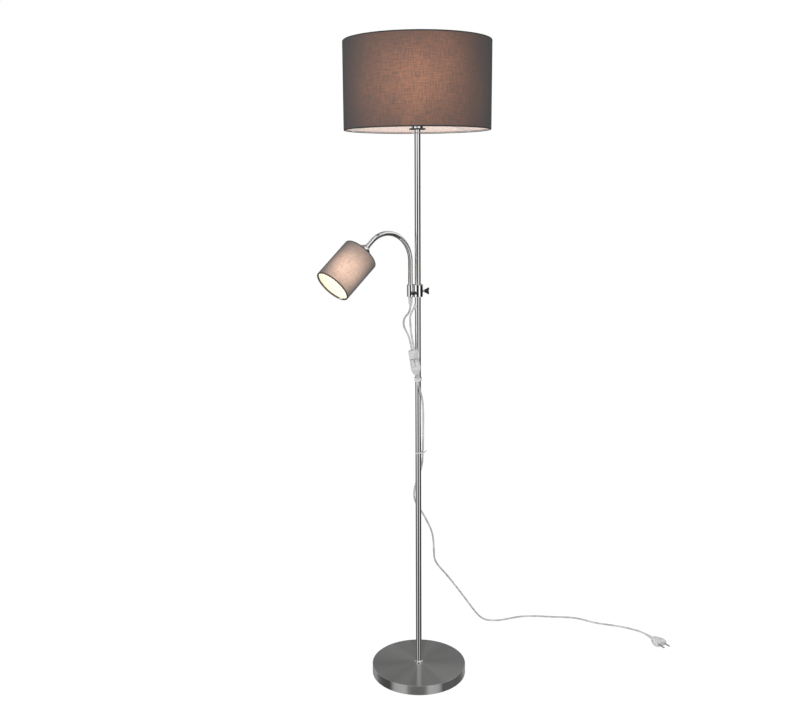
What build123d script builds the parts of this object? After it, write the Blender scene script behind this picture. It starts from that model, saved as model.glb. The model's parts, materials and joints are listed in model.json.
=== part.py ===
"""Torchiere floor lamp with a reading light on a flexible arm. Millimetres, +Z up.

The origin is the centre of the base on the floor. +X runs to the right of the lamp as it is
looked at from the front, and +Y away from the viewer.
"""
import os
from math import cos, pi, radians, sin, tan

from build123d import *

os.makedirs("parts", exist_ok=True)

# ---------------------------------------------------------------- driving dimensions
# whole lamp
lamp_height = 1600.0
seat = 0.05             # gap between nested pieces that are fixed to each other
running = 0.08          # radial gap of a part that turns or slides on another
loose = 0.3             # gap between moving pieces that only pass each other

# base
base_diameter = 245.0
base_height = 25.5
cover_wall = 1.0
cover_edge_radius = 1.2
cover_floor_gap = 0.8
pad_thickness = 2.0
pad_inset = 5.0
weight_plate = 10.0
weight_rim = 13.0
weight_boss_radius = 26.0
nut_recess_radius = 19.0
nut_recess_depth = 9.0
washer_radius = 17.0
washer_thickness = 2.0
nut_across_flats = 15.0
nut_thickness = 5.0
nipple_diameter = 10.0
nipple_bore = 8.0
nipple_grip = 20.0      # length of a threaded nipple that sits in a bush
collar_diameter = 22.0
collar_height = 4.5
collar_chamfer = 0.9

# pole
pole_diameter = 15.0
pole_wall = 1.0
pole_section = 489.0    # each of the two lower tubes
bush_length = 30.0
pole_into_shade = 2.0   # how far the pole rises past the lower rim of the shade

# cable outlet in the pole
outlet_height = 986.0   # where the axis of the outlet meets the axis of the pole
outlet_azimuth = 215.0
outlet_drop = 50.0      # degrees below the horizontal
outlet_reach = 17.9
grommet_radius = 3.5
grommet_flange_width = 9.2
grommet_flange_height = 14.0
grommet_flange = 1.4
lead_bend_radius = 12.0

# cords
cord_diameter = 5.0
cord_gap = 0.1          # between a cord and the hole that it runs in
reading_lead_run = 14.0     # straight run of each cord at the end of its hole
outlet_run = 14.5
main_lead_run = 11.0
mains_run = 18.0

# main lampholder and bulb
disc_diameter = 40.0
disc_thickness = 3.0
disc_chamfer = 1.0
cup_diameter = 28.0
cup_height = 12.0
cup_wall = 1.0
cap_floor = 8.0
cap_wall = 1.6
holder_radius = 19.0
holder_flange_radius = 25.0
holder_flange_rise = 26.0   # flange above the disc
holder_flange_thickness = 2.0
holder_thread_length = 30.0
holder_bore = 28.0
contact_thickness = 4.0
ring_radius = 27.0
ring_thickness = 6.0
ring_edge = 1.5
main_bulb_radius = 30.0
main_bulb_cap_radius = 13.2
main_bulb_length = 108.0
main_bulb_cap_length = 27.0
main_bulb_contact_radius = 4.4
main_bulb_glass_sink = 3.3      # of the glass in its cap
bulb_glass_wall = 0.8

# main shade
shade_diameter = 350.0
shade_height = 203.5
fabric_thickness = 0.8
liner_thickness = 0.6
shade_wire = 3.0
shade_hem = 4.5
shade_hub_radius = 30.0
shade_hub_thickness = 1.4
shade_arm_wire = 3.6
shade_arm_azimuths = (40.0, 160.0, 280.0)

# clamp of the reading light
clamp_height = 1000.0   # underside of the clamp block
clamp_thickness = 30.0
clamp_boss_radius = 13.0
arm_boss_radius = 9.0
arm_boss_offset = 18.0  # from the axis of the pole to the axis of the arm
block_edge = 0.8
sleeve_wall = 1.2
sleeve_flange = 1.0
sleeve_flange_radius = 10.0
screw_radius = 2.0
clamp_screw_height = 14.0   # above the underside of the block
clamp_screw_standoff = 15.7     # from the axis of the pole to the wing
arm_screw_height = 9.5
arm_screw_azimuth = -67.0
arm_screw_standoff = 11.7   # from the axis of the arm to the wing
wing_length = 13.2
wing_height = 20.0
wing_notch = 2.2
wing_thickness = 4.6
wing_tip_radius = 2.0
wing_root_height = 5.6
wing_hub_radius = 3.8
wing_hub_length = 8.5
screw_in_wing = 7.0

# gland under the arm
gland_radius = 5.4
gland_tip_radius = 4.2
gland_length = 21.2
gland_straight = 10.0
gland_plug = 3.7
gland_screw_hole = 1.1

# arm
ferrule_radius = 5.95
ferrule_top = 56.0      # above the underside of the clamp block
spigot_radius = 4.95
spigot_foot = 4.3
arm_azimuth = 219.0
neck_radius = 5.75
neck_rib_depth = 0.3
neck_rib_pitch = 2.0
neck_groove_from = 0.35     # share of a rib's pitch
neck_groove_to = 0.65
neck_bore_radius = 3.2
neck_rise = 31.0
neck_bend_radius = 70.0
neck_turn = 130.7
neck_tail = 20.0
neck_first_joint = 42.0
neck_joint_pitch = 32.0
neck_joint_count = 5
neck_ball_radius = 4.9
neck_stem_radius = 4.6
neck_joint_gap = 1.8
neck_lip = 0.6
neck_plug_radius = 4.4
neck_plug_length = 14.0

# head of the reading light, along its own axis from the end of the neck
head_cup_radius = 15.0
head_cup_wall = 1.2
head_cup_collar = 3.0
head_cup_collar_radius = 7.0
head_cup_flare = 7.0
head_cup_shoulder = 4.0
head_cup_rim = 25.5
reading_holder_radius = 12.4
reading_holder_length = 43.0
reading_flange_radius = 16.0
reading_flange_thickness = 1.6
reading_holder_bore = 15.0
reading_ring_radius = 18.0
reading_ring_thickness = 4.5
reading_hub_radius = 20.0
reading_hub_thickness = 1.2
reading_arm_wire = 2.4
reading_wire = 2.2
reading_hem = 3.4
reading_shade_diameter = 90.0
reading_shade_length = 108.0
reading_shade_start = 23.5
reading_bulb_radius = 22.5
reading_bulb_cap_radius = 6.9
reading_bulb_cap_length = 24.0
reading_bulb_contact_radius = 2.3
reading_bulb_glass_sink = 3.4
reading_bulb_length = 78.0
reading_arm_angles = (30.0, 150.0, 270.0)

# cord switch
switch_length = 62.0
switch_width = 24.0
switch_base_thickness = 6.6
switch_cover_thickness = 8.0
switch_wall = 1.6
switch_tilt = 8.5
switch_centre_x = -8.0
switch_centre_z = 838.4
switch_back_gap = 0.8   # between the pole and the back of the case
switch_cord_depth = 3.8     # cord axis above the back face
switch_top_spacing = 5.6    # between the two leads
switch_foot_taper = 15.0
switch_foot_width = 13.0
switch_corner_radius = 4.0
switch_cord_insert = 3.0     # cord inside the case
rocker_width = 7.4
rocker_length = 18.6
rocker_spacing = 9.8
rocker_pivot_radius = 1.0
rocker_pivot_reach = 1.0
rocker_depth = 3.2      # below the pivot
rocker_crown = 3.4      # above the pivot, at the waist
rocker_lift = 1.1       # how much the ends stand over the waist
rocker_tilt = 9.0
rocker_gap = 0.45
rocker_end_gap = 0.9
rocker_keel = 9.3       # length of its flat bottom
terminal_width = 3.6
terminal_length = 11.0
terminal_height = 4.2
terminal_spacing = 6.4

# clip and tie that hold the cord on the pole
clip_wall = 2.2
clip_height = 8.0
clip_centre_z = 793.0
tie_height = 602.5
tie_width = 2.4
tie_thickness = 1.1
tie_head = 4.2
tie_tail = 9.0
tie_tail_rise = 40.0    # degrees above the horizontal

# plug
plug_width = 35.3
plug_rear_width = 13.0
plug_thickness = 13.7
plug_length = 36.0
plug_shoulder = 21.0
plug_boot_length = 20.0
plug_boot_radius = 5.0
plug_boot_tip_radius = 3.3
plug_edge = 3.0
plug_pin_diameter = 4.0
plug_pin_edge = 0.8
plug_pin_length = 19.0
plug_pin_spacing = 18.6
plug_pin_root = 6.0
plug_pin_root_diameter = 5.0
plug_heading = Vector(0.477, -0.879, 0).normalized()
plug_start = Vector(651.0, 184.5, plug_thickness / 2)

# ---------------------------------------------------------------- sizes that follow
base_radius = base_diameter / 2
pole_radius = pole_diameter / 2
pole_bore = pole_radius - pole_wall
shade_radius = shade_diameter / 2
shade_bottom = lamp_height - shade_height
pole_foot = base_height
first_seam = pole_foot + pole_section
second_seam = first_seam + pole_section
pole_top = shade_bottom + pole_into_shade
nipple_radius = nipple_diameter / 2
nipple_hole = nipple_radius + seat
cord_radius = cord_diameter / 2
eighth_turn = cos(radians(45))  # share of a radius, across and up, at an eighth of a turn
cord_hole = cord_radius + cord_gap
sleeve_inner = pole_radius + running
sleeve_outer = sleeve_inner + sleeve_wall



def turn_between(first, middle, last):
    """Angle in degrees by which a route turns at its middle point."""
    return (Vector(middle) - Vector(first)).get_angle(Vector(last) - Vector(middle))


def corner_radii(points):
    """Largest tangent arc at each inner point of a route: 0.45 of its shorter run."""
    radii = []
    for first, middle, last in zip(points, points[1:], points[2:]):
        before = (Vector(middle) - Vector(first)).length
        after = (Vector(last) - Vector(middle)).length
        radii.append(0.45 * min(before, after) / tan(radians(turn_between(first, middle, last) / 2)))
    return radii


def print_cord(name, points, part, length):
    """Print a cord's arcs and runs, and its volume as a share of section times length."""
    runs = [(Vector(end) - Vector(start)).length for start, end in zip(points, points[1:])]
    share = part.volume / (pi * cord_radius**2 * length)
    print(f"{name}: {length:.0f} mm long, volume / (section x length) = {share:.4f}")
    print("  arc radii", [round(radius) for radius in corner_radii(points)])
    print("  runs", [round(run) for run in runs])


# ================================================================ base
# Foam pad glued under the base: it carries the lamp and covers the nut.
with BuildPart() as floor_pad:
    with BuildSketch():
        Circle(base_radius - pad_inset)
    extrude(amount=pad_thickness)
floor_pad.part.label = "floor_pad"
export_step(floor_pad.part, "parts/floor_pad.step")

# Cast iron weight: a plate with a raised rim and a centre boss that carry the cover.
weight_radius = base_radius - cover_wall - seat
weight_top = base_height - cover_wall
plate_top = pad_thickness + weight_plate
recess_top = pad_thickness + nut_recess_depth
with BuildPart() as base_weight:
    with BuildSketch(Plane.XZ):
        Polygon(
            (nipple_hole, recess_top),
            (nut_recess_radius, recess_top),
            (nut_recess_radius, pad_thickness),
            (weight_radius, pad_thickness),
            (weight_radius, weight_top - cover_edge_radius),
            (weight_radius - cover_edge_radius, weight_top),
            (weight_radius - weight_rim, weight_top),
            (weight_radius - weight_rim, plate_top),
            (weight_boss_radius, plate_top),
            (weight_boss_radius, weight_top),
            (nipple_hole, weight_top),
            align=None,
        )
    revolve(axis=Axis.Z)
base_weight.part.label = "base_weight"
export_step(base_weight.part, "parts/base_weight.step")

# Spun steel cover over the weight, with a rolled upper edge.
with BuildPart() as base_cover:
    with BuildSketch(Plane.XY.offset(cover_floor_gap)):
        Circle(base_radius)
    extrude(amount=base_height - cover_floor_gap)
    fillet(base_cover.edges().group_by(Axis.Z)[-1], radius=cover_edge_radius)
    offset(amount=-cover_wall, openings=base_cover.faces().sort_by(Axis.Z)[0])
    with BuildSketch(Plane.XY.offset(weight_top)):
        Circle(nipple_hole)
    extrude(amount=cover_wall, mode=Mode.SUBTRACT)
base_cover.part.label = "base_cover"
export_step(base_cover.part, "parts/base_cover.step")

# Threaded tube that pulls the pole down on the base.
base_nipple_foot = recess_top - washer_thickness - nut_thickness - seat
with BuildPart() as base_nipple:
    with BuildSketch(Plane.XY.offset(base_nipple_foot)):
        Circle(nipple_radius)
        Circle(nipple_bore / 2, mode=Mode.SUBTRACT)
    extrude(amount=pole_foot + nipple_grip - base_nipple_foot)
base_nipple.part.label = "base_nipple"
export_step(base_nipple.part, "parts/base_nipple.step")

with BuildPart() as base_washer:
    with BuildSketch(Plane.XY.offset(recess_top)):
        Circle(washer_radius)
        Circle(nipple_hole, mode=Mode.SUBTRACT)
    extrude(amount=-washer_thickness)
base_washer.part.label = "base_washer"
export_step(base_washer.part, "parts/base_washer.step")

with BuildPart() as base_nut:
    with BuildSketch(Plane.XY.offset(recess_top - washer_thickness)):
        RegularPolygon(nut_across_flats / 2, 6, major_radius=False)
        Circle(nipple_hole, mode=Mode.SUBTRACT)
    extrude(amount=-nut_thickness)
base_nut.part.label = "base_nut"
export_step(base_nut.part, "parts/base_nut.step")

# Turned collar that hides the joint of pole and cover.
with BuildPart() as foot_collar:
    with BuildSketch(Plane.XY.offset(pole_foot)):
        Circle(collar_diameter / 2)
        Circle(pole_radius + seat, mode=Mode.SUBTRACT)
    extrude(amount=collar_height)
    chamfer(foot_collar.edges().group_by(Axis.Z)[-1].sort_by(SortBy.RADIUS)[-1], length=collar_chamfer)
foot_collar.part.label = "foot_collar"
export_step(foot_collar.part, "parts/foot_collar.step")

# ================================================================ pole
# Three steel tubes end to end. The middle one has the outlet of the main lamp's lead.
outlet_side = Vector(cos(radians(outlet_azimuth)), sin(radians(outlet_azimuth)), 0)
outlet_axis = outlet_side * cos(radians(outlet_drop)) - Vector(0, 0, sin(radians(outlet_drop)))
outlet_root = Vector(0, 0, outlet_height)
outlet_mouth = outlet_root + outlet_axis * outlet_reach

with BuildPart() as lower_tube:
    with BuildSketch(Plane.XY.offset(pole_foot)):
        Circle(pole_radius)
        Circle(pole_bore, mode=Mode.SUBTRACT)
    extrude(amount=pole_section)
lower_tube.part.label = "lower_tube"
export_step(lower_tube.part, "parts/lower_tube.step")

with BuildPart() as middle_tube:
    with BuildSketch(Plane.XY.offset(first_seam)):
        Circle(pole_radius)
        Circle(pole_bore, mode=Mode.SUBTRACT)
    extrude(amount=pole_section)
    with BuildSketch(Plane(origin=outlet_root, z_dir=outlet_axis)):
        Circle(grommet_radius + seat)
    extrude(amount=outlet_reach, mode=Mode.SUBTRACT)
middle_tube.part.label = "middle_tube"
export_step(middle_tube.part, "parts/middle_tube.step")

with BuildPart() as upper_tube:
    with BuildSketch(Plane.XY.offset(second_seam)):
        Circle(pole_radius)
        Circle(pole_bore, mode=Mode.SUBTRACT)
    extrude(amount=pole_top - second_seam)
upper_tube.part.label = "upper_tube"
export_step(upper_tube.part, "parts/upper_tube.step")

# Threaded bushes pressed into the tubes: one at the foot, one over each seam, one at the top.
bush_feet = (pole_foot, first_seam - bush_length / 2, second_seam - bush_length / 2,
             pole_top - bush_length)
with BuildPart() as tube_bushes:
    for foot in bush_feet:
        at_seam = pole_foot < foot < pole_top - bush_length
        with BuildSketch(Plane.XY.offset(foot)):
            Circle(pole_bore - seat)
            Circle(nipple_bore / 2 if at_seam else nipple_hole, mode=Mode.SUBTRACT)
        extrude(amount=bush_length)
tube_bushes.part.label = "tube_bushes"
export_step(tube_bushes.part, "parts/tube_bushes.step")

# Clear grommet in the outlet: a slanted sleeve through the wall and an oval flange outside it.
grommet_inner_end = (pole_bore - pole_wall) / cos(radians(outlet_drop))
flange_centre = outlet_root - Vector(0, 0, pole_radius * tan(radians(outlet_drop)))
with BuildPart() as cable_grommet:
    with BuildSketch(Plane(origin=flange_centre, x_dir=(0, 0, 1), z_dir=outlet_side)):
        Ellipse(grommet_flange_height / 2, grommet_flange_width / 2)
    extrude(amount=pole_radius + grommet_flange)
    with BuildSketch(Plane.XY.offset(first_seam)):
        Circle(pole_radius + seat)
    extrude(amount=pole_section, mode=Mode.SUBTRACT)
    with BuildSketch(Plane(origin=outlet_root + outlet_axis * grommet_inner_end, z_dir=outlet_axis)):
        Circle(grommet_radius)
    extrude(amount=outlet_reach - grommet_inner_end)
    with BuildSketch(Plane(origin=outlet_root, z_dir=outlet_axis)):
        Circle(cord_hole)
    extrude(amount=outlet_reach, mode=Mode.SUBTRACT)
cable_grommet.part.label = "cable_grommet"
export_step(cable_grommet.part, "parts/cable_grommet.step")

# ================================================================ main lampholder
disc_top = pole_top + disc_thickness
cup_floor = disc_top + cup_wall
flange_foot = pole_top + holder_flange_rise
flange_top = flange_foot + holder_flange_thickness
holder_top = flange_top + holder_thread_length
cap_foot = cup_floor + seat
cap_neck_radius = cup_diameter / 2 - cup_wall - seat
cap_shoulder = disc_top + cup_height + cup_wall
top_nipple_end = cap_foot + cap_floor
with BuildPart() as top_nipple:
    with BuildSketch(Plane.XY.offset(pole_top - nipple_grip)):
        Circle(nipple_radius)
        Circle(nipple_bore / 2, mode=Mode.SUBTRACT)
    extrude(amount=top_nipple_end - pole_top + nipple_grip)
top_nipple.part.label = "top_nipple"
export_step(top_nipple.part, "parts/top_nipple.step")

# Saucer between the pole and the cup.
with BuildPart() as holder_disc:
    with BuildSketch(Plane.XY.offset(pole_top)):
        Circle(disc_diameter / 2)
        Circle(nipple_hole, mode=Mode.SUBTRACT)
    extrude(amount=disc_thickness)
    chamfer(holder_disc.edges().group_by(Axis.Z)[-1].sort_by(SortBy.RADIUS)[-1], length=disc_chamfer)
holder_disc.part.label = "holder_disc"
export_step(holder_disc.part, "parts/holder_disc.step")

# Plated cup that the neck of the lampholder stands in.
with BuildPart() as socket_cup:
    with BuildSketch(Plane.XZ):
        Polygon(
            (nipple_hole, disc_top),
            (cup_diameter / 2, disc_top),
            (cup_diameter / 2, disc_top + cup_height),
            (cup_diameter / 2 - cup_wall, disc_top + cup_height),
            (cup_diameter / 2 - cup_wall, cup_floor),
            (nipple_hole, cup_floor),
            align=None,
        )
    revolve(axis=Axis.Z)
socket_cup.part.label = "socket_cup"
export_step(socket_cup.part, "parts/socket_cup.step")

# Lower half of the lampholder, screwed on the nipple.
with BuildPart() as lampholder_cap:
    with BuildSketch(Plane.XZ):
        Polygon(
            (nipple_hole, cap_foot),
            (cap_neck_radius, cap_foot),
            (cap_neck_radius, cap_shoulder),
            (holder_radius, cap_shoulder + holder_radius - cap_neck_radius),
            (holder_radius, flange_foot - seat),
            (holder_radius - cap_wall, flange_foot - seat),
            (holder_radius - cap_wall, cap_shoulder + holder_radius - cap_neck_radius),
            (cap_neck_radius - cap_wall, cap_shoulder),
            (cap_neck_radius - cap_wall, cap_foot + cap_floor),
            (nipple_hole, cap_foot + cap_floor),
            align=None,
        )
    revolve(axis=Axis.Z)
lampholder_cap.part.label = "lampholder_cap"
export_step(lampholder_cap.part, "parts/lampholder_cap.step")

# Upper half: flange that carries the shade, outer thread for the ring, bore for the bulb.
with BuildPart() as lampholder_body:
    with BuildSketch(Plane.XZ):
        Polygon(
            (0, flange_foot),
            (holder_flange_radius, flange_foot),
            (holder_flange_radius, flange_top),
            (holder_radius, flange_top),
            (holder_radius, holder_top),
            (holder_bore / 2, holder_top),
            (holder_bore / 2, flange_top),
            (0, flange_top),
            align=None,
        )
    revolve(axis=Axis.Z)
lampholder_body.part.label = "lampholder_body"
export_step(lampholder_body.part, "parts/lampholder_body.step")

# Contact block at the bottom of the bore: a ceramic disc with the centre tongue on it.
contact_foot = flange_top
contact_top = contact_foot + contact_thickness
with BuildPart() as lampholder_contacts:
    with BuildSketch(Plane.XY.offset(contact_foot)):
        Circle(holder_bore / 2 - seat)
    extrude(amount=contact_thickness / 2)
    with BuildSketch(Plane.XY.offset(contact_foot)):
        Rectangle(contact_thickness * 2, contact_thickness)
    extrude(amount=contact_thickness - seat)
lampholder_contacts.part.label = "lampholder_contacts"
export_step(lampholder_contacts.part, "parts/lampholder_contacts.step")

# Threaded ring that clamps the hub of the shade on the flange.
hub_top = flange_top + shade_hub_thickness
with BuildPart() as shade_ring:
    with BuildSketch(Plane.XY.offset(hub_top)):
        Circle(ring_radius)
        Circle(holder_radius + seat, mode=Mode.SUBTRACT)
    extrude(amount=ring_thickness)
    fillet(shade_ring.edges().group_by(Axis.Z)[-1].sort_by(SortBy.RADIUS)[-1], radius=ring_edge)
shade_ring.part.label = "shade_ring"
export_step(shade_ring.part, "parts/shade_ring.step")

# Lead inside the pole, from the outlet up into the lampholder.
with BuildPart() as pole_lead:
    with BuildLine() as pole_lead_path:
        FilletPolyline(outlet_mouth, outlet_root, (0, 0, top_nipple_end), radius=lead_bend_radius)
    with BuildSketch(Plane(origin=outlet_mouth, z_dir=-outlet_axis)):
        Circle(cord_radius)
    sweep(path=pole_lead_path.line)
pole_lead.part.label = "pole_lead"
export_step(pole_lead.part, "parts/pole_lead.step")

# ================================================================ main bulb
main_bulb_tip = contact_top + main_bulb_length
main_ball_height = main_bulb_tip - main_bulb_radius
main_glass_foot = contact_top + main_bulb_cap_length - main_bulb_glass_sink
with BuildPart() as bulb_base:
    with BuildSketch(Plane.XZ):
        Polygon(
            (0, contact_top),
            (main_bulb_contact_radius, contact_top),
            (main_bulb_cap_radius, contact_top + main_bulb_contact_radius),
            (main_bulb_cap_radius, contact_top + main_bulb_cap_length),
            (main_bulb_cap_radius - bulb_glass_wall, contact_top + main_bulb_cap_length),
            (main_bulb_cap_radius - bulb_glass_wall, main_glass_foot - seat),
            (0, main_glass_foot - seat),
            align=None,
        )
    revolve(axis=Axis.Z)
bulb_base.part.label = "bulb_base"
export_step(bulb_base.part, "parts/bulb_base.step")

main_glass_neck = main_bulb_cap_radius - bulb_glass_wall - seat
with BuildPart() as bulb_glass:
    for inset, mode in ((0, Mode.ADD), (bulb_glass_wall, Mode.SUBTRACT)):
        neck = (main_glass_neck - inset, contact_top + main_bulb_cap_length)
        shoulder = (main_bulb_radius - inset, main_ball_height)
        tip = main_bulb_tip - inset
        reach = shoulder[0] * eighth_turn
        with BuildSketch(Plane.XZ):
            with BuildLine():
                Polyline((0, tip), (0, main_glass_foot), (neck[0], main_glass_foot), neck)
                Spline(neck, shoulder, tangents=[(0, 1), (0, 1)])
                ThreePointArc(shoulder, (reach, shoulder[1] + reach), (0, tip))
            make_face()
        revolve(axis=Axis.Z, mode=mode)
bulb_glass.part.label = "bulb_glass"
export_step(bulb_glass.part, "parts/bulb_glass.step")

# ================================================================ main shade
wire_radius = shade_wire / 2
liner_radius = shade_radius - fabric_thickness
liner_inner = liner_radius - liner_thickness
pocket_inner = liner_inner - shade_wire - 2 * seat
wire_ring_radius = liner_inner - seat - wire_radius
lower_wire_height = shade_bottom + fabric_thickness + seat + wire_radius
upper_wire_height = lamp_height - fabric_thickness - seat - wire_radius
hub_height = flange_top + shade_hub_thickness / 2
arm_wire_radius = shade_arm_wire / 2
arm_end_height = shade_bottom + fabric_thickness + seat + arm_wire_radius

# Wire frame: the upper ring, and the lower ring with the hub welded to it by three arms.
with BuildPart() as shade_frame:
    for height in (lower_wire_height, upper_wire_height):
        with BuildSketch(Plane.XZ):
            with Locations((wire_ring_radius, height)):
                Circle(wire_radius)
        revolve(axis=Axis.Z)
    with BuildSketch(Plane.XY.offset(flange_top)):
        Circle(shade_hub_radius)
        Circle(holder_radius + seat, mode=Mode.SUBTRACT)
    extrude(amount=shade_hub_thickness)
    for azimuth in shade_arm_azimuths:
        arm_side = Plane(origin=(0, 0, 0), x_dir=(cos(radians(azimuth)), sin(radians(azimuth)), 0),
                         z_dir=(sin(radians(azimuth)), -cos(radians(azimuth)), 0))
        with BuildLine(arm_side) as arm_path:
            Line((shade_hub_radius - arm_wire_radius, hub_height), (wire_ring_radius, arm_end_height))
        with BuildSketch(Plane(origin=arm_path.line @ 0, z_dir=arm_path.line % 0)):
            Circle(arm_wire_radius)
        sweep(path=arm_path.line)
    with BuildSketch(Plane.XY.offset(pole_top)):
        Circle(holder_radius + seat)
    extrude(amount=holder_top - pole_top, mode=Mode.SUBTRACT)
    with BuildSketch(Plane.XZ):
        with Locations(((holder_radius + ring_radius) / 2, hub_top + ring_thickness / 2)):
            Rectangle(ring_radius - holder_radius + 2 * loose, ring_thickness)
        with Locations(((holder_radius + holder_flange_radius) / 2, (flange_top + flange_foot) / 2)):
            Rectangle(holder_flange_radius - holder_radius + 2 * loose, holder_flange_thickness)
    revolve(axis=Axis.Z, mode=Mode.SUBTRACT)
shade_frame.part.label = "shade_frame"
export_step(shade_frame.part, "parts/shade_frame.step")

# Stiff translucent liner that the fabric is laminated on.
with BuildPart() as shade_liner:
    with BuildSketch(Plane.XY.offset(shade_bottom + fabric_thickness)):
        Circle(liner_radius)
        Circle(liner_inner, mode=Mode.SUBTRACT)
    extrude(amount=shade_height - 2 * fabric_thickness)
shade_liner.part.label = "shade_liner"
export_step(shade_liner.part, "parts/shade_liner.step")

# Fabric drum, turned in over both wires. The lower hem is nicked where the arms cross it.
with BuildPart() as shade_fabric:
    with BuildSketch(Plane.XY.offset(shade_bottom)):
        Circle(shade_radius)
        Circle(liner_radius, mode=Mode.SUBTRACT)
    extrude(amount=shade_height)
    for edge, inward in ((shade_bottom, 1), (lamp_height, -1)):
        with BuildSketch(Plane.XZ):
            Polygon(
                (liner_radius, edge),
                (pocket_inner - fabric_thickness, edge),
                (pocket_inner - fabric_thickness, edge + inward * shade_hem),
                (pocket_inner, edge + inward * shade_hem),
                (pocket_inner, edge + inward * fabric_thickness),
                (liner_radius, edge + inward * fabric_thickness),
                align=None,
            )
        revolve(axis=Axis.Z)
    for azimuth in shade_arm_azimuths:
        with BuildSketch(Plane.XY.offset(shade_bottom + fabric_thickness).rotated((0, 0, azimuth))):
            with Locations((pocket_inner - fabric_thickness / 2, 0)):
                Rectangle(2 * fabric_thickness, 2 * shade_arm_wire)
        extrude(amount=shade_hem, mode=Mode.SUBTRACT)
shade_fabric.part.label = "shade_fabric"
export_step(shade_fabric.part, "parts/shade_fabric.step")

# ================================================================ clamp of the reading light
arm_axis_point = Vector(-arm_boss_offset, 0, 0)
clamp_top = clamp_height + clamp_thickness
clamp_bore = sleeve_outer + running
spigot_bore = spigot_radius + running

# Nylon sleeve that slides on the pole and turns in the clamp block.
with BuildPart() as clamp_bush:
    with BuildSketch(Plane.XY.offset(clamp_height)):
        Circle(sleeve_outer)
    extrude(amount=clamp_thickness)
    with BuildSketch(Plane.XY.offset(clamp_height - loose)):
        Circle(sleeve_flange_radius)
    extrude(amount=-sleeve_flange)
    with BuildSketch(Plane.XY.offset(clamp_height - loose)):
        Circle(sleeve_outer)
    extrude(amount=loose)
    with BuildSketch(Plane.XY.offset(clamp_height - loose - sleeve_flange)):
        Circle(sleeve_inner)
    extrude(amount=clamp_thickness + loose + sleeve_flange, mode=Mode.SUBTRACT)
clamp_bush.part.label = "clamp_bush"
export_step(clamp_bush.part, "parts/clamp_bush.step")

# Die-cast block with two bosses: the right one on the pole, the left one for the arm.
clamp_screw_origin = Vector(0, 0, clamp_height + clamp_screw_height)
clamp_screw_axis = Vector(1, 0, 0)
arm_screw_origin = arm_axis_point + Vector(0, 0, clamp_height + arm_screw_height)
arm_screw_axis = Vector(cos(radians(arm_screw_azimuth)), sin(radians(arm_screw_azimuth)), 0)
with BuildPart() as clamp_block:
    with BuildSketch(Plane.XY.offset(clamp_height)):
        Circle(clamp_boss_radius)
        with Locations(arm_axis_point):
            Circle(arm_boss_radius)
    extrude(amount=clamp_thickness)
    chamfer(clamp_block.edges().filter_by(Axis.Z, reverse=True), length=block_edge)
    with BuildSketch(Plane.XY.offset(clamp_height)):
        Circle(clamp_bore)
        with Locations(arm_axis_point):
            Circle(spigot_bore)
    extrude(amount=clamp_thickness, mode=Mode.SUBTRACT)
    with BuildSketch(Plane(origin=clamp_screw_origin, z_dir=clamp_screw_axis)):
        Circle(screw_radius + running)
    extrude(amount=clamp_screw_standoff, mode=Mode.SUBTRACT)
    with BuildSketch(Plane(origin=arm_screw_origin, z_dir=arm_screw_axis)):
        Circle(screw_radius + running)
    extrude(amount=arm_screw_standoff, mode=Mode.SUBTRACT)
clamp_block.part.label = "clamp_block"
export_step(clamp_block.part, "parts/clamp_block.step")

# Two wing screws: a steel stud moulded into a black wing. One presses on the sleeve, the other
# on the spigot of the arm.
wing_screws = (
    ("clamp", clamp_screw_origin, clamp_screw_axis, Vector(0, 0, 1), sleeve_outer, clamp_screw_standoff),
    ("arm", arm_screw_origin, arm_screw_axis, Vector(0, 0, 1).cross(arm_screw_axis), spigot_radius,
     arm_screw_standoff),
)
for name, origin, axis, span, pressed_radius, standoff in wing_screws:
    with BuildPart() as screw:
        with BuildSketch(Plane(origin=origin + axis * (pressed_radius + loose), z_dir=axis)):
            Circle(screw_radius)
        extrude(amount=standoff + screw_in_wing - pressed_radius - loose)
    screw.part.label = f"{name}_screw"
    export_step(screw.part, f"parts/{name}_screw.step")

    wing_plane = Plane(origin=origin + axis * standoff, x_dir=axis, z_dir=axis.cross(span))
    with BuildPart() as wing:
        with BuildSketch(wing_plane) as wing_outline:
            Polygon(
                (0, -wing_root_height / 2),
                (wing_length, -wing_height / 2),
                (wing_length - wing_notch, 0),
                (wing_length, wing_height / 2),
                (0, wing_root_height / 2),
                align=None,
            )
            tips = wing_outline.vertices().group_by(Axis.Y)
            fillet(tips[0] + tips[-1], radius=wing_tip_radius)
        extrude(amount=wing_thickness / 2, both=True)
        with BuildSketch(Plane(origin=origin + axis * standoff, z_dir=axis)):
            Circle(wing_hub_radius)
        extrude(amount=wing_hub_length)
        with BuildSketch(Plane(origin=origin + axis * standoff, z_dir=axis)):
            Circle(screw_radius + seat)
        extrude(amount=screw_in_wing + seat, mode=Mode.SUBTRACT)
    wing.part.label = f"{name}_wing"
    export_step(wing.part, f"parts/{name}_wing.step")

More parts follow.
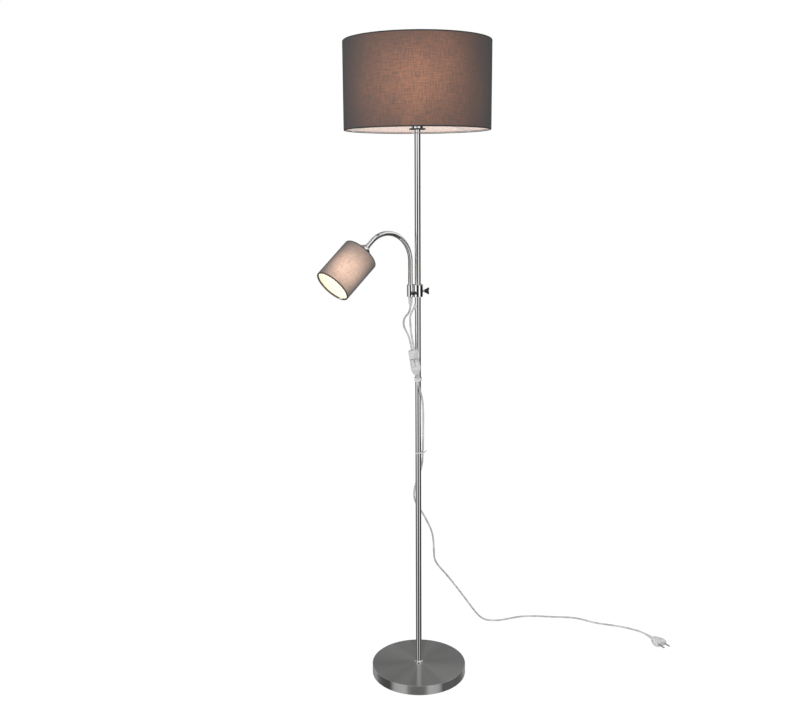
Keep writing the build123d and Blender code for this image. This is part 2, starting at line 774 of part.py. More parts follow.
# Clear gland plugged into the arm boss from below, with the small hole of its grip screw.
gland_foot = clamp_height - gland_length
gland_plane = Plane(origin=arm_axis_point, x_dir=(1, 0, 0), z_dir=(0, -1, 0))
arm_axis = Axis(arm_axis_point, (0, 0, 1))
with BuildPart() as strain_relief:
    with BuildSketch(gland_plane):
        Polygon(
            (cord_hole, gland_foot),
            (gland_tip_radius, gland_foot),
            (gland_radius, clamp_height - gland_straight),
            (gland_radius, clamp_height),
            (spigot_bore - seat, clamp_height),
            (spigot_bore - seat, clamp_height + gland_plug),
            (cord_hole, clamp_height + gland_plug),
            align=None,
        )
    revolve(axis=arm_axis)
    with BuildSketch(gland_plane):
        with Locations((0, clamp_height - gland_straight)):
            Circle(gland_screw_hole)
    extrude(amount=gland_radius, mode=Mode.SUBTRACT)
strain_relief.part.label = "strain_relief"
export_step(strain_relief.part, "parts/strain_relief.step")

# ================================================================ arm
# The arm bends in one upright plane through the axis of its boss: straight up, round an arc,
# then straight on to the head. Stations along it are measured from the top of the ferrule.
ferrule_end = clamp_height + ferrule_top
reach_axis = Vector(cos(radians(arm_azimuth)), sin(radians(arm_azimuth)), 0)
bend_axis = Vector(0, 0, 1).cross(reach_axis)
neck_arc_length = neck_bend_radius * radians(neck_turn)
neck_length = neck_rise + neck_arc_length + neck_tail


def neck_angle(station):
    """Angle of the neck from upright at a station, in radians."""
    return min(max(station - neck_rise, 0), neck_arc_length) / neck_bend_radius


def neck_direction(station):
    """Direction of the neck at a station."""
    return reach_axis * sin(neck_angle(station)) + Vector(0, 0, cos(neck_angle(station)))


def neck_point(station):
    """Point on the centre line of the neck at a station."""
    angle = neck_angle(station)
    along = neck_bend_radius * (1 - cos(angle))
    up = min(station, neck_rise) + neck_bend_radius * sin(angle)
    end = reach_axis * along + Vector(0, 0, up) + arm_axis_point + Vector(0, 0, ferrule_end)
    return end + neck_direction(station) * max(station - neck_rise - neck_arc_length, 0)


def neck_plane(station):
    """Cross-section plane of the neck, its X axis on the axis that the neck bends about."""
    return Plane(origin=neck_point(station), x_dir=bend_axis, z_dir=neck_direction(station))


def neck_pieces(start, end):
    """Straight and curved stretches of the neck between two stations."""
    arc_end = neck_rise + neck_arc_length
    pieces = [(start, min(end, neck_rise)), (max(start, neck_rise), min(end, arc_end)),
              (max(start, arc_end), end)]
    return [(low, high) for low, high in pieces if high > low]


# Plated ferrule: its spigot turns in the boss, and the neck is crimped in its upper end.
with BuildPart() as arm_ferrule:
    with BuildSketch(gland_plane):
        Polygon(
            (neck_bore_radius, clamp_height + spigot_foot),
            (spigot_radius, clamp_height + spigot_foot),
            (spigot_radius, clamp_top + loose),
            (ferrule_radius, clamp_top + loose),
            (ferrule_radius, ferrule_end),
            (neck_plug_radius + seat, ferrule_end),
            (neck_plug_radius + seat, ferrule_end - neck_plug_length - seat),
            (neck_bore_radius, ferrule_end - neck_plug_length - seat),
            align=None,
        )
    revolve(axis=arm_axis)
arm_ferrule.part.label = "arm_ferrule"
export_step(arm_ferrule.part, "parts/arm_ferrule.step")

# The neck is a wound metal hose in links, hinged where a ball sits in the next link's socket.
neck_joints = [neck_first_joint + neck_joint_pitch * index for index in range(neck_joint_count)]
neck_starts = [0.0] + neck_joints
head_seat = neck_length - head_cup_collar
neck_ends = [joint - neck_joint_gap for joint in neck_joints] + [head_seat]
groove = neck_radius - neck_rib_depth
rib_profile = ((0, neck_radius), (neck_groove_from, groove), (neck_groove_to, groove), (1, neck_radius))
for index, (start, end) in enumerate(zip(neck_starts, neck_ends)):
    ribs = round((end - start - neck_lip) / neck_rib_pitch)
    pitch = (end - start - neck_lip) / ribs
    with BuildPart() as link:
        with BuildSketch(neck_plane(start)):
            Circle(neck_radius)
        for rib in range(ribs):
            for share, radius in rib_profile:
                if rib and not share:
                    continue
                with BuildSketch(neck_plane(start + neck_lip + (rib + share) * pitch)):
                    Circle(radius)
        loft(ruled=True)
        if index < neck_joint_count:
            with BuildSketch(neck_plane(end)):
                Circle(neck_stem_radius)
            extrude(amount=neck_joint_gap)
            with Locations(neck_plane(neck_joints[index])):
                Sphere(neck_ball_radius)
        else:
            with BuildSketch(neck_plane(end)):
                Circle(neck_plug_radius)
            extrude(amount=head_cup_collar)
        if index:
            with Locations(neck_plane(start)):
                Sphere(neck_ball_radius + loose, mode=Mode.SUBTRACT)
        else:
            with BuildSketch(neck_plane(start)):
                Circle(neck_plug_radius)
            extrude(amount=-neck_plug_length)
        bore = (start - neck_plug_length - neck_lip, end + head_cup_collar + neck_stem_radius)
        with BuildLine() as bore_path:
            for low, high in neck_pieces(*bore):
                if low >= neck_rise and high <= neck_rise + neck_arc_length:
                    ThreePointArc(neck_point(low), neck_point((low + high) / 2), neck_point(high))
                else:
                    Line(neck_point(low), neck_point(high))
        with BuildSketch(neck_plane(bore[0])):
            Circle(neck_bore_radius)
        sweep(path=bore_path.line, mode=Mode.SUBTRACT)
    link.part.label = f"neck_link_{index}"
    export_step(link.part, f"parts/neck_link_{index}.step")

# ================================================================ head of the reading light
# Turned about the head's own axis: X is the distance from that axis, Y runs towards the mouth.
head_origin = neck_point(neck_length)
head_direction = neck_direction(neck_length)
head_axis = Axis(head_origin, head_direction)
head_plane = Plane(origin=head_origin, x_dir=bend_axis, z_dir=bend_axis.cross(head_direction))


def across_head(distance, angle=0):
    """Plane square to the head's axis, its X axis turned about that axis."""
    outward = bend_axis.rotate(Axis((0, 0, 0), head_direction), angle)
    return Plane(origin=head_origin + head_direction * distance, x_dir=outward, z_dir=head_direction)


cup_inner = head_cup_radius - head_cup_wall
cup_inner_shoulder = head_cup_shoulder - head_cup_wall
collar_bore = neck_radius + seat
with BuildPart() as head_cup:
    with BuildSketch(head_plane) as profile:
        Polygon(
            (collar_bore, -head_cup_collar),
            (head_cup_collar_radius, -head_cup_collar),
            (head_cup_collar_radius, 0),
            (head_cup_radius, head_cup_flare),
            (head_cup_radius, head_cup_rim),
            (cup_inner, head_cup_rim),
            (cup_inner, head_cup_flare),
            (head_cup_collar_radius - head_cup_wall, head_cup_wall),
            (neck_bore_radius, head_cup_wall),
            (neck_bore_radius, seat),
            (collar_bore, seat),
            align=None,
        )
        for corner, radius in ((head_cup_radius, head_cup_shoulder), (cup_inner, cup_inner_shoulder)):
            shoulder = Vector(corner, head_cup_flare)
            fillet(profile.vertices().sort_by_distance(shoulder)[0], radius=radius)
    revolve(axis=head_axis)
head_cup.part.label = "head_cup"
export_step(head_cup.part, "parts/head_cup.step")

# Small lampholder: its foot stands in the cup, its flange carries the hub of the shade.
reading_flange_foot = head_cup_rim + seat
reading_flange_top = reading_flange_foot + reading_flange_thickness
reading_holder_foot = head_cup_flare + seat
reading_holder_end = reading_holder_foot + reading_holder_length
reading_socket_floor = reading_flange_top + reading_flange_thickness
with BuildPart() as reading_holder:
    with BuildSketch(head_plane):
        Polygon(
            (0, reading_holder_foot),
            (reading_holder_radius, reading_holder_foot),
            (reading_holder_radius, reading_flange_foot),
            (reading_flange_radius, reading_flange_foot),
            (reading_flange_radius, reading_flange_top),
            (reading_holder_radius, reading_flange_top),
            (reading_holder_radius, reading_holder_end),
            (reading_holder_bore / 2, reading_holder_end),
            (reading_holder_bore / 2, reading_socket_floor),
            (0, reading_socket_floor),
            align=None,
        )
    revolve(axis=head_axis)
reading_holder.part.label = "reading_holder"
export_step(reading_holder.part, "parts/reading_holder.step")

reading_hub_top = reading_flange_top + reading_hub_thickness
with BuildPart() as reading_ring:
    with BuildSketch(across_head(reading_hub_top)):
        Circle(reading_ring_radius)
        Circle(reading_holder_radius + seat, mode=Mode.SUBTRACT)
    extrude(amount=reading_ring_thickness)
reading_ring.part.label = "reading_ring"
export_step(reading_ring.part, "parts/reading_ring.step")

# Bulb: metal cap with its tip on the socket floor, and the glass.
reading_cap_end = reading_socket_floor + reading_bulb_cap_length
reading_bulb_tip = reading_socket_floor + reading_bulb_length
reading_glass_foot = reading_cap_end - reading_bulb_glass_sink
reading_ball = reading_bulb_tip - reading_bulb_radius
with BuildPart() as reading_bulb_base:
    with BuildSketch(head_plane):
        Polygon(
            (0, reading_socket_floor),
            (reading_bulb_contact_radius, reading_socket_floor),
            (reading_bulb_cap_radius, reading_socket_floor + reading_bulb_contact_radius),
            (reading_bulb_cap_radius, reading_cap_end),
            (reading_bulb_cap_radius - bulb_glass_wall, reading_cap_end),
            (reading_bulb_cap_radius - bulb_glass_wall, reading_glass_foot - seat),
            (0, reading_glass_foot - seat),
            align=None,
        )
    revolve(axis=head_axis)
reading_bulb_base.part.label = "reading_bulb_base"
export_step(reading_bulb_base.part, "parts/reading_bulb_base.step")

reading_glass_neck = reading_bulb_cap_radius - bulb_glass_wall - seat
with BuildPart() as reading_bulb_glass:
    for inset, mode in ((0, Mode.ADD), (bulb_glass_wall, Mode.SUBTRACT)):
        neck = (reading_glass_neck - inset, reading_cap_end + loose)
        shoulder = (reading_bulb_radius - inset, reading_ball)
        tip = reading_bulb_tip - inset
        reach = shoulder[0] * eighth_turn
        with BuildSketch(head_plane):
            with BuildLine():
                Polyline((0, tip), (0, reading_glass_foot), (neck[0], reading_glass_foot), neck)
                Spline(neck, shoulder, tangents=[(0, 1), (0, 1)])
                ThreePointArc(shoulder, (reach, shoulder[1] + reach), (0, tip))
            make_face()
        revolve(axis=head_axis, mode=mode)
reading_bulb_glass.part.label = "reading_bulb_glass"
export_step(reading_bulb_glass.part, "parts/reading_bulb_glass.step")

# Small shade: wire frame, liner and fabric, built as the large one is.
small_radius = reading_shade_diameter / 2
small_start = reading_shade_start
small_end = reading_shade_start + reading_shade_length
small_liner = small_radius - fabric_thickness
small_liner_inner = small_liner - liner_thickness
small_wire = reading_wire / 2
small_pocket = small_liner_inner - reading_wire - 2 * seat
small_wire_ring = small_liner_inner - seat - small_wire
small_wire_stations = (small_start + fabric_thickness + seat + small_wire,
                       small_end - fabric_thickness - seat - small_wire)
small_hub = reading_flange_top + reading_hub_thickness / 2
small_arm_wire = reading_arm_wire / 2
with BuildPart() as reading_frame:
    for station in small_wire_stations:
        with BuildSketch(head_plane):
            with Locations((small_wire_ring, station)):
                Circle(small_wire)
        revolve(axis=head_axis)
    with BuildSketch(across_head(reading_flange_top)):
        Circle(reading_hub_radius)
        Circle(reading_holder_radius + seat, mode=Mode.SUBTRACT)
    extrude(amount=reading_hub_thickness)
    for angle in reading_arm_angles:
        hub_plane = across_head(small_hub, angle)
        rim_plane = across_head(small_start + fabric_thickness + seat + small_arm_wire, angle)
        with BuildLine() as arm_path:
            Line(hub_plane.origin + hub_plane.x_dir * (reading_hub_radius - small_arm_wire),
                 rim_plane.origin + rim_plane.x_dir * small_wire_ring)
        with BuildSketch(Plane(origin=arm_path.line @ 0, z_dir=arm_path.line % 0)):
            Circle(small_arm_wire)
        sweep(path=arm_path.line)
    with BuildSketch(head_plane):
        Polygon(
            (0, reading_holder_foot),
            (reading_holder_radius + seat, reading_holder_foot),
            (reading_holder_radius + seat, reading_flange_foot - loose),
            (reading_flange_radius + loose, reading_flange_foot - loose),
            (reading_flange_radius + loose, reading_flange_top),
            (reading_holder_radius + seat, reading_flange_top),
            (reading_holder_radius + seat, reading_hub_top),
            (reading_ring_radius + loose, reading_hub_top),
            (reading_ring_radius + loose, reading_holder_end),
            (0, reading_holder_end),
            align=None,
        )
    revolve(axis=head_axis, mode=Mode.SUBTRACT)
reading_frame.part.label = "reading_frame"
export_step(reading_frame.part, "parts/reading_frame.step")

with BuildPart() as reading_liner:
    with BuildSketch(across_head(small_start + fabric_thickness)):
        Circle(small_liner)
        Circle(small_liner_inner, mode=Mode.SUBTRACT)
    extrude(amount=reading_shade_length - 2 * fabric_thickness)
reading_liner.part.label = "reading_liner"
export_step(reading_liner.part, "parts/reading_liner.step")

with BuildPart() as reading_fabric:
    with BuildSketch(across_head(small_start)):
        Circle(small_radius)
        Circle(small_liner, mode=Mode.SUBTRACT)
    extrude(amount=reading_shade_length)
    for edge, inward in ((small_start, 1), (small_end, -1)):
        with BuildSketch(head_plane):
            Polygon(
                (small_liner, edge),
                (small_pocket - fabric_thickness, edge),
                (small_pocket - fabric_thickness, edge + inward * reading_hem),
                (small_pocket, edge + inward * reading_hem),
                (small_pocket, edge + inward * fabric_thickness),
                (small_liner, edge + inward * fabric_thickness),
                align=None,
            )
        revolve(axis=head_axis)
    for angle in reading_arm_angles:
        with BuildSketch(across_head(small_start + fabric_thickness, angle)):
            with Locations((small_pocket - fabric_thickness / 2, 0)):
                Rectangle(2 * fabric_thickness, 2 * reading_arm_wire)
        extrude(amount=reading_hem, mode=Mode.SUBTRACT)
reading_fabric.part.label = "reading_fabric"
export_step(reading_fabric.part, "parts/reading_fabric.step")

# ================================================================ cord switch
# Flat case in front of the pole. Its own frame: X across, Y up along the case, Z to the front.
case_across = Vector(cos(radians(switch_tilt)), 0, sin(radians(switch_tilt)))
case_along = Vector(-sin(radians(switch_tilt)), 0, cos(radians(switch_tilt)))
case_front = Vector(0, -1, 0)
case_origin = Vector(switch_centre_x, -(pole_radius + switch_back_gap), switch_centre_z)


def case_plane(depth):
    """Plane parallel to the back of the switch case."""
    return Plane(origin=case_origin + case_front * depth, x_dir=case_across, z_dir=case_front)


def case_point(across, along, depth):
    """Point of the switch case in the lamp's frame."""
    return case_origin + case_across * across + case_along * along + case_front * depth


half_width = switch_width / 2
half_length = switch_length / 2
half_foot = switch_foot_width / 2
case_depth = switch_base_thickness + switch_cover_thickness
case_outline = (
    (-half_foot, -half_length),
    (half_foot, -half_length),
    (half_width, switch_foot_taper - half_length),
    (half_width, half_length),
    (-half_width, half_length),
    (-half_width, switch_foot_taper - half_length),
)
half_spacing = switch_top_spacing / 2
cord_entries = ((0, -half_length), (-half_spacing, half_length), (half_spacing, half_length))

# Back half, with the three cord holes in its end walls.
with BuildPart() as switch_base:
    with BuildSketch(case_plane(0)) as outline:
        Polygon(*case_outline, align=None)
        fillet(outline.vertices(), radius=switch_corner_radius)
    extrude(amount=switch_base_thickness)
    with BuildSketch(case_plane(switch_base_thickness)) as outline:
        Polygon(*case_outline, align=None)
        fillet(outline.vertices(), radius=switch_corner_radius)
        offset(amount=-switch_wall)
    extrude(amount=-(switch_base_thickness - switch_cord_depth + cord_hole + running), mode=Mode.SUBTRACT)
    for across, along in cord_entries:
        inward = -case_along if along > 0 else case_along
        with BuildSketch(Plane(origin=case_point(across, along, switch_cord_depth), z_dir=inward)):
            Circle(cord_hole)
        extrude(amount=2 * switch_wall, mode=Mode.SUBTRACT)
switch_base.part.label = "switch_base"
export_step(switch_base.part, "parts/switch_base.step")

# Front half, with a window for each rocker.
window_width = rocker_width + 2 * rocker_gap
window_length = rocker_length + 2 * rocker_end_gap
rocker_places = [(-rocker_spacing / 2, 0), (rocker_spacing / 2, 0)]
with BuildPart() as switch_cover:
    with BuildSketch(case_plane(switch_base_thickness)) as outline:
        Polygon(*case_outline, align=None)
        fillet(outline.vertices(), radius=switch_corner_radius)
    extrude(amount=switch_cover_thickness)
    chamfer(switch_cover.faces().sort_by(Axis.Y)[0].edges(), length=switch_wall / 2)
    with BuildSketch(case_plane(switch_base_thickness)) as outline:
        Polygon(*case_outline, align=None)
        fillet(outline.vertices(), radius=switch_corner_radius)
        offset(amount=-switch_wall)
    extrude(amount=switch_cover_thickness - switch_wall, mode=Mode.SUBTRACT)
    with BuildSketch(case_plane(case_depth)):
        with Locations(*rocker_places):
            Rectangle(window_width, window_length)
    extrude(amount=-switch_wall, mode=Mode.SUBTRACT)
switch_cover.part.label = "switch_cover"
export_step(switch_cover.part, "parts/switch_cover.step")

# One rocker for each lamp, both at rest in the ON position. Their axles lie under the cover.
pivot_depth = case_depth - switch_wall - rocker_pivot_radius - loose
for name, across in (("reading", -rocker_spacing / 2), ("main", rocker_spacing / 2)):
    pivot = case_point(across, 0, pivot_depth)
    tilted_along = case_along.rotate(Axis((0, 0, 0), case_across), rocker_tilt)
    side_plane = Plane(origin=pivot, x_dir=tilted_along, z_dir=tilted_along.cross(case_front.rotate(
        Axis((0, 0, 0), case_across), rocker_tilt)))
    with BuildPart() as rocker:
        with BuildSketch(side_plane):
            Polygon(
                (-rocker_length / 2, rocker_crown + rocker_lift),
                (-rocker_length / 2, 0),
                (-rocker_keel / 2, -rocker_depth),
                (rocker_keel / 2, -rocker_depth),
                (rocker_length / 2, 0),
                (rocker_length / 2, rocker_crown + rocker_lift),
                (0, rocker_crown),
                align=None,
            )
        extrude(amount=rocker_width / 2, both=True)
        with BuildSketch(side_plane):
            Circle(rocker_pivot_radius)
        extrude(amount=rocker_width / 2 + rocker_pivot_reach, both=True)
    rocker.part.label = f"{name}_rocker"
    export_step(rocker.part, f"parts/{name}_rocker.step")

# Three brass terminal blocks on the floor of the case.
terminal_floor = switch_cord_depth - cord_hole - running
with BuildPart() as switch_terminals:
    with BuildSketch(case_plane(terminal_floor)):
        with GridLocations(terminal_spacing, 0, 3, 1):
            Rectangle(terminal_width, terminal_length)
    extrude(amount=terminal_height)
switch_terminals.part.label = "switch_terminals"
export_step(switch_terminals.part, "parts/switch_terminals.step")

# ================================================================ cords
# Reading lead: from under the gland, out in a loose bow to the left, and into the switch.
lead_start = arm_axis_point + Vector(0, 0, gland_foot - loose)
reading_entry = case_point(-half_spacing, half_length, switch_cord_depth)
reading_route = [
    lead_start,
    (-19.2, -1.2, 958.0),
    (-33.0, -4.5, 942.0),
    (-35.2, -10.0, 922.5),
    (-22.7, -15.0, 903.0),
    reading_entry + case_along * reading_lead_run,
    reading_entry - case_along * switch_cord_insert,
]
with BuildPart() as reading_lead:
    with BuildLine():
        path = FilletPolyline(*reading_route, radius=corner_radii(reading_route))
    with BuildSketch(Plane(origin=path @ 0, z_dir=path % 0)):
        Circle(cord_radius)
    sweep(path=path)
reading_lead.part.label = "reading_lead"
export_step(reading_lead.part, "parts/reading_lead.step")
print_cord("reading_lead", reading_route, reading_lead.part, path.length)

# Main lead: out of the grommet in the pole and down into the switch.
main_entry = case_point(half_spacing, half_length, switch_cord_depth)
main_route = [
    outlet_mouth,
    outlet_mouth + outlet_axis * outlet_run,
    (-19.4, -14.0, 947.0),
    (-18.2, -13.4, 930.0),
    (-16.8, -11.2, 911.5),
    (-13.8, -11.7, 896.0),
    main_entry + case_along * main_lead_run,
    main_entry - case_along * switch_cord_insert,
]
with BuildPart() as main_lead:
    with BuildLine():
        path = FilletPolyline(*main_route, radius=corner_radii(main_route))
    with BuildSketch(Plane(origin=path @ 0, z_dir=path % 0)):
        Circle(cord_radius)
    sweep(path=path)
main_lead.part.label = "main_lead"
export_step(main_lead.part, "parts/main_lead.step")
print_cord("main_lead", main_route, main_lead.part, path.length)

# Mains cord: out of the switch, through the clip, round the pole under the tie, free to the
# floor behind the lamp, and along the floor to the plug.
mains_exit = case_point(0, -half_length, switch_cord_depth)
mains_route = [
    mains_exit + case_along * switch_cord_insert,
    mains_exit - case_along * mains_run,
    (4.7, -11.3, 766.0),
    (9.6, -8.4, 748.5),
    (12.3, -4.0, 728.0),
    (13.1, -2.4, 693.0),
    (12.6, 0.6, 640.0),
    (11.4, 1.9, 588.0),
    (8.8, 8.2, 562.0),
    (2.5, 12.8, 541.0),
    (-4.5, 12.6, 522.0),
    (-9.8, 9.3, 506.0),
    (-12.0, 5.0, 489.5),
    (-9.8, 9.2, 473.0),
    (-2.5, 13.5, 457.5),
    (7.5, 14.5, 441.5),
    (16.0, 17.0, 425.0),
    (27.0, 23.0, 401.0),
    (35.5, 30.0, 378.0),
    (39.5, 39.0, 350.0),
    (40.5, 48.0, 319.0),
    (42.0, 58.0, 291.0),
    (51.0, 75.0, 267.0),
    (70.5, 100.0, 234.5),
    (95.6, 132.5, 189.5),
    (120.6, 168.5, 140.7),
    (141.8, 205.0, 96.4),
    (160.0, 239.0, 56.5),
    (177.5, 265.5, 24.5),
    (194.5, 279.5, 6.5),
    (214.0, 283.5, cord_radius),
    (236.0, 282.5, cord_radius),
    (264.0, 293.0, cord_radius),
    (301.0, 309.0, cord_radius),
    (345.0, 312.0, cord_radius),
    (398.0, 306.0, cord_radius),
    (450.0, 303.5, cord_radius),
    (478.0, 294.0, cord_radius),
    (502.0, 277.0, cord_radius),
    (529.0, 264.0, cord_radius),
    (570.0, 252.5, cord_radius),
    (600.0, 240.5, cord_radius),
    (621.0, 226.0, 3.2),
    plug_start - plug_heading * plug_boot_length,
    plug_start,
]
with BuildPart() as mains_cord:
    with BuildLine():
        path = FilletPolyline(*mains_route, radius=corner_radii(mains_route))
    with BuildSketch(Plane(origin=path @ 0, z_dir=path % 0)):
        Circle(cord_radius)
    sweep(path=path)
mains_cord.part.label = "mains_cord"
export_step(mains_cord.part, "parts/mains_cord.step")
print_cord("mains_cord", mains_route, mains_cord.part, path.length)

# Clear clip below the switch: a ring round the pole with an eye for the cord in front of it.
eye_centre = mains_exit + case_along * ((clip_centre_z - mains_exit.Z) / case_along.Z)
eye_hole = cord_radius + loose
with BuildPart() as pole_clip:
    with BuildSketch(Plane.XY.offset(clip_centre_z - clip_height / 2)):
        Circle(pole_radius + clip_wall)
        with Locations((eye_centre.X, eye_centre.Y)):
            Circle(eye_hole + clip_wall)
        Circle(pole_radius + seat, mode=Mode.SUBTRACT)
    extrude(amount=clip_height)
    with BuildSketch(Plane(origin=mains_exit, z_dir=-case_along)):
        Circle(eye_hole)
    extrude(amount=2 * (mains_exit.Z - clip_centre_z), mode=Mode.SUBTRACT)
pole_clip.part.label = "pole_clip"
export_step(pole_clip.part, "parts/pole_clip.step")

# Clear tie round the pole and the cord, with its head on the cord's side and a short tail.
route_above = Vector([point for point in mains_route if Vector(point).Z > tie_height][-1])
route_below = Vector([point for point in mains_route if Vector(point).Z <= tie_height][0])
share_down = (route_above.Z - tie_height) / (route_above.Z - route_below.Z)
tied_cord = route_above + (route_below - route_above) * share_down
tie_heading = Vector(tied_cord.X, tied_cord.Y, 0).normalized()
tie_head_plane = Plane(
    origin=tied_cord + tie_heading * (cord_radius + tie_thickness), x_dir=(0, 0, 1), z_dir=tie_heading)
tail_heading = tie_heading * cos(radians(tie_tail_rise)) + Vector(0, 0, sin(radians(tie_tail_rise)))
with BuildPart() as cable_tie:
    for wall, mode in ((tie_thickness, Mode.ADD), (0, Mode.SUBTRACT)):
        with BuildSketch(Plane.XY.offset(tie_height - tie_width / 2)):
            with BuildLine():
                CenterArc((0, 0), pole_radius + seat + wall, 0, 360)
                CenterArc((tied_cord.X, tied_cord.Y), cord_hole + wall, 0, 360)
            make_hull()
        extrude(amount=tie_width, mode=mode)
    with BuildSketch(tie_head_plane):
        Rectangle(tie_head, tie_head)
    extrude(amount=tie_head / 2)
    with BuildSketch(Plane(origin=tie_head_plane.origin, x_dir=tie_head_plane.y_dir, z_dir=tail_heading)):
        Rectangle(tie_width, tie_thickness)
    extrude(amount=tie_tail)
cable_tie.part.label = "cable_tie"
export_step(cable_tie.part, "parts/cable_tie.step")

# ================================================================ plug
# Flat two-pin plug lying on the floor, with its boot towards the cord.
plug_side = Vector(0, 0, 1).cross(plug_heading)
plug_plane = Plane(origin=Vector(plug_start.X, plug_start.Y, 0), x_dir=plug_heading, z_dir=(0, 0, 1))
plug_rear = plug_boot_length
plug_front = plug_boot_length + plug_length
pin_root_plane = Plane(
    origin=plug_start + plug_heading * (plug_front - plug_pin_root), x_dir=plug_side, z_dir=plug_heading)
with BuildPart() as plug_body:
    with BuildSketch(plug_plane) as outline:
        Polygon(
            (plug_rear, -plug_rear_width / 2),
            (plug_rear + plug_shoulder, -plug_width / 2),
            (plug_front, -plug_width / 2),
            (plug_front, plug_width / 2),
            (plug_rear + plug_shoulder, plug_width / 2),
            (plug_rear, plug_rear_width / 2),
            align=None,
        )
        fillet(outline.vertices(), radius=plug_edge)
    extrude(amount=plug_thickness)
    plug_faces = plug_body.faces().sort_by(Axis.Z)
    chamfer(plug_faces[0].edges() + plug_faces[-1].edges(), length=plug_edge / 2)
    with BuildSketch(Plane(origin=plug_start, z_dir=plug_heading)):
        Circle(plug_boot_tip_radius)
    with BuildSketch(Plane(origin=plug_start + plug_heading * (plug_rear + plug_edge), z_dir=plug_heading)):
        Circle(plug_boot_radius)
    loft()
    with BuildSketch(pin_root_plane):
        with GridLocations(plug_pin_spacing, 0, 2, 1):
            Circle(plug_pin_root_diameter / 2)
    extrude(amount=plug_pin_root, mode=Mode.SUBTRACT)
plug_body.part.label = "plug_body"
export_step(plug_body.part, "parts/plug_body.step")

# Two round pins, each with a thicker root moulded into the body.
with BuildPart() as plug_pins:
    with BuildSketch(pin_root_plane):
        with GridLocations(plug_pin_spacing, 0, 2, 1):
            Circle(plug_pin_root_diameter / 2)
    extrude(amount=plug_pin_root)
    with BuildSketch(pin_root_plane):
        with GridLocations(plug_pin_spacing, 0, 2, 1):
            Circle(plug_pin_diameter / 2)
    extrude(amount=plug_pin_root + plug_pin_length)
    fillet(plug_pins.edges().group_by(Axis(plug_start, plug_heading))[-1], radius=plug_pin_edge)
plug_pins.part.label = "plug_pins"
export_step(plug_pins.part, "parts/plug_pins.step")
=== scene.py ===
import json
from math import cos, pi, radians, sin

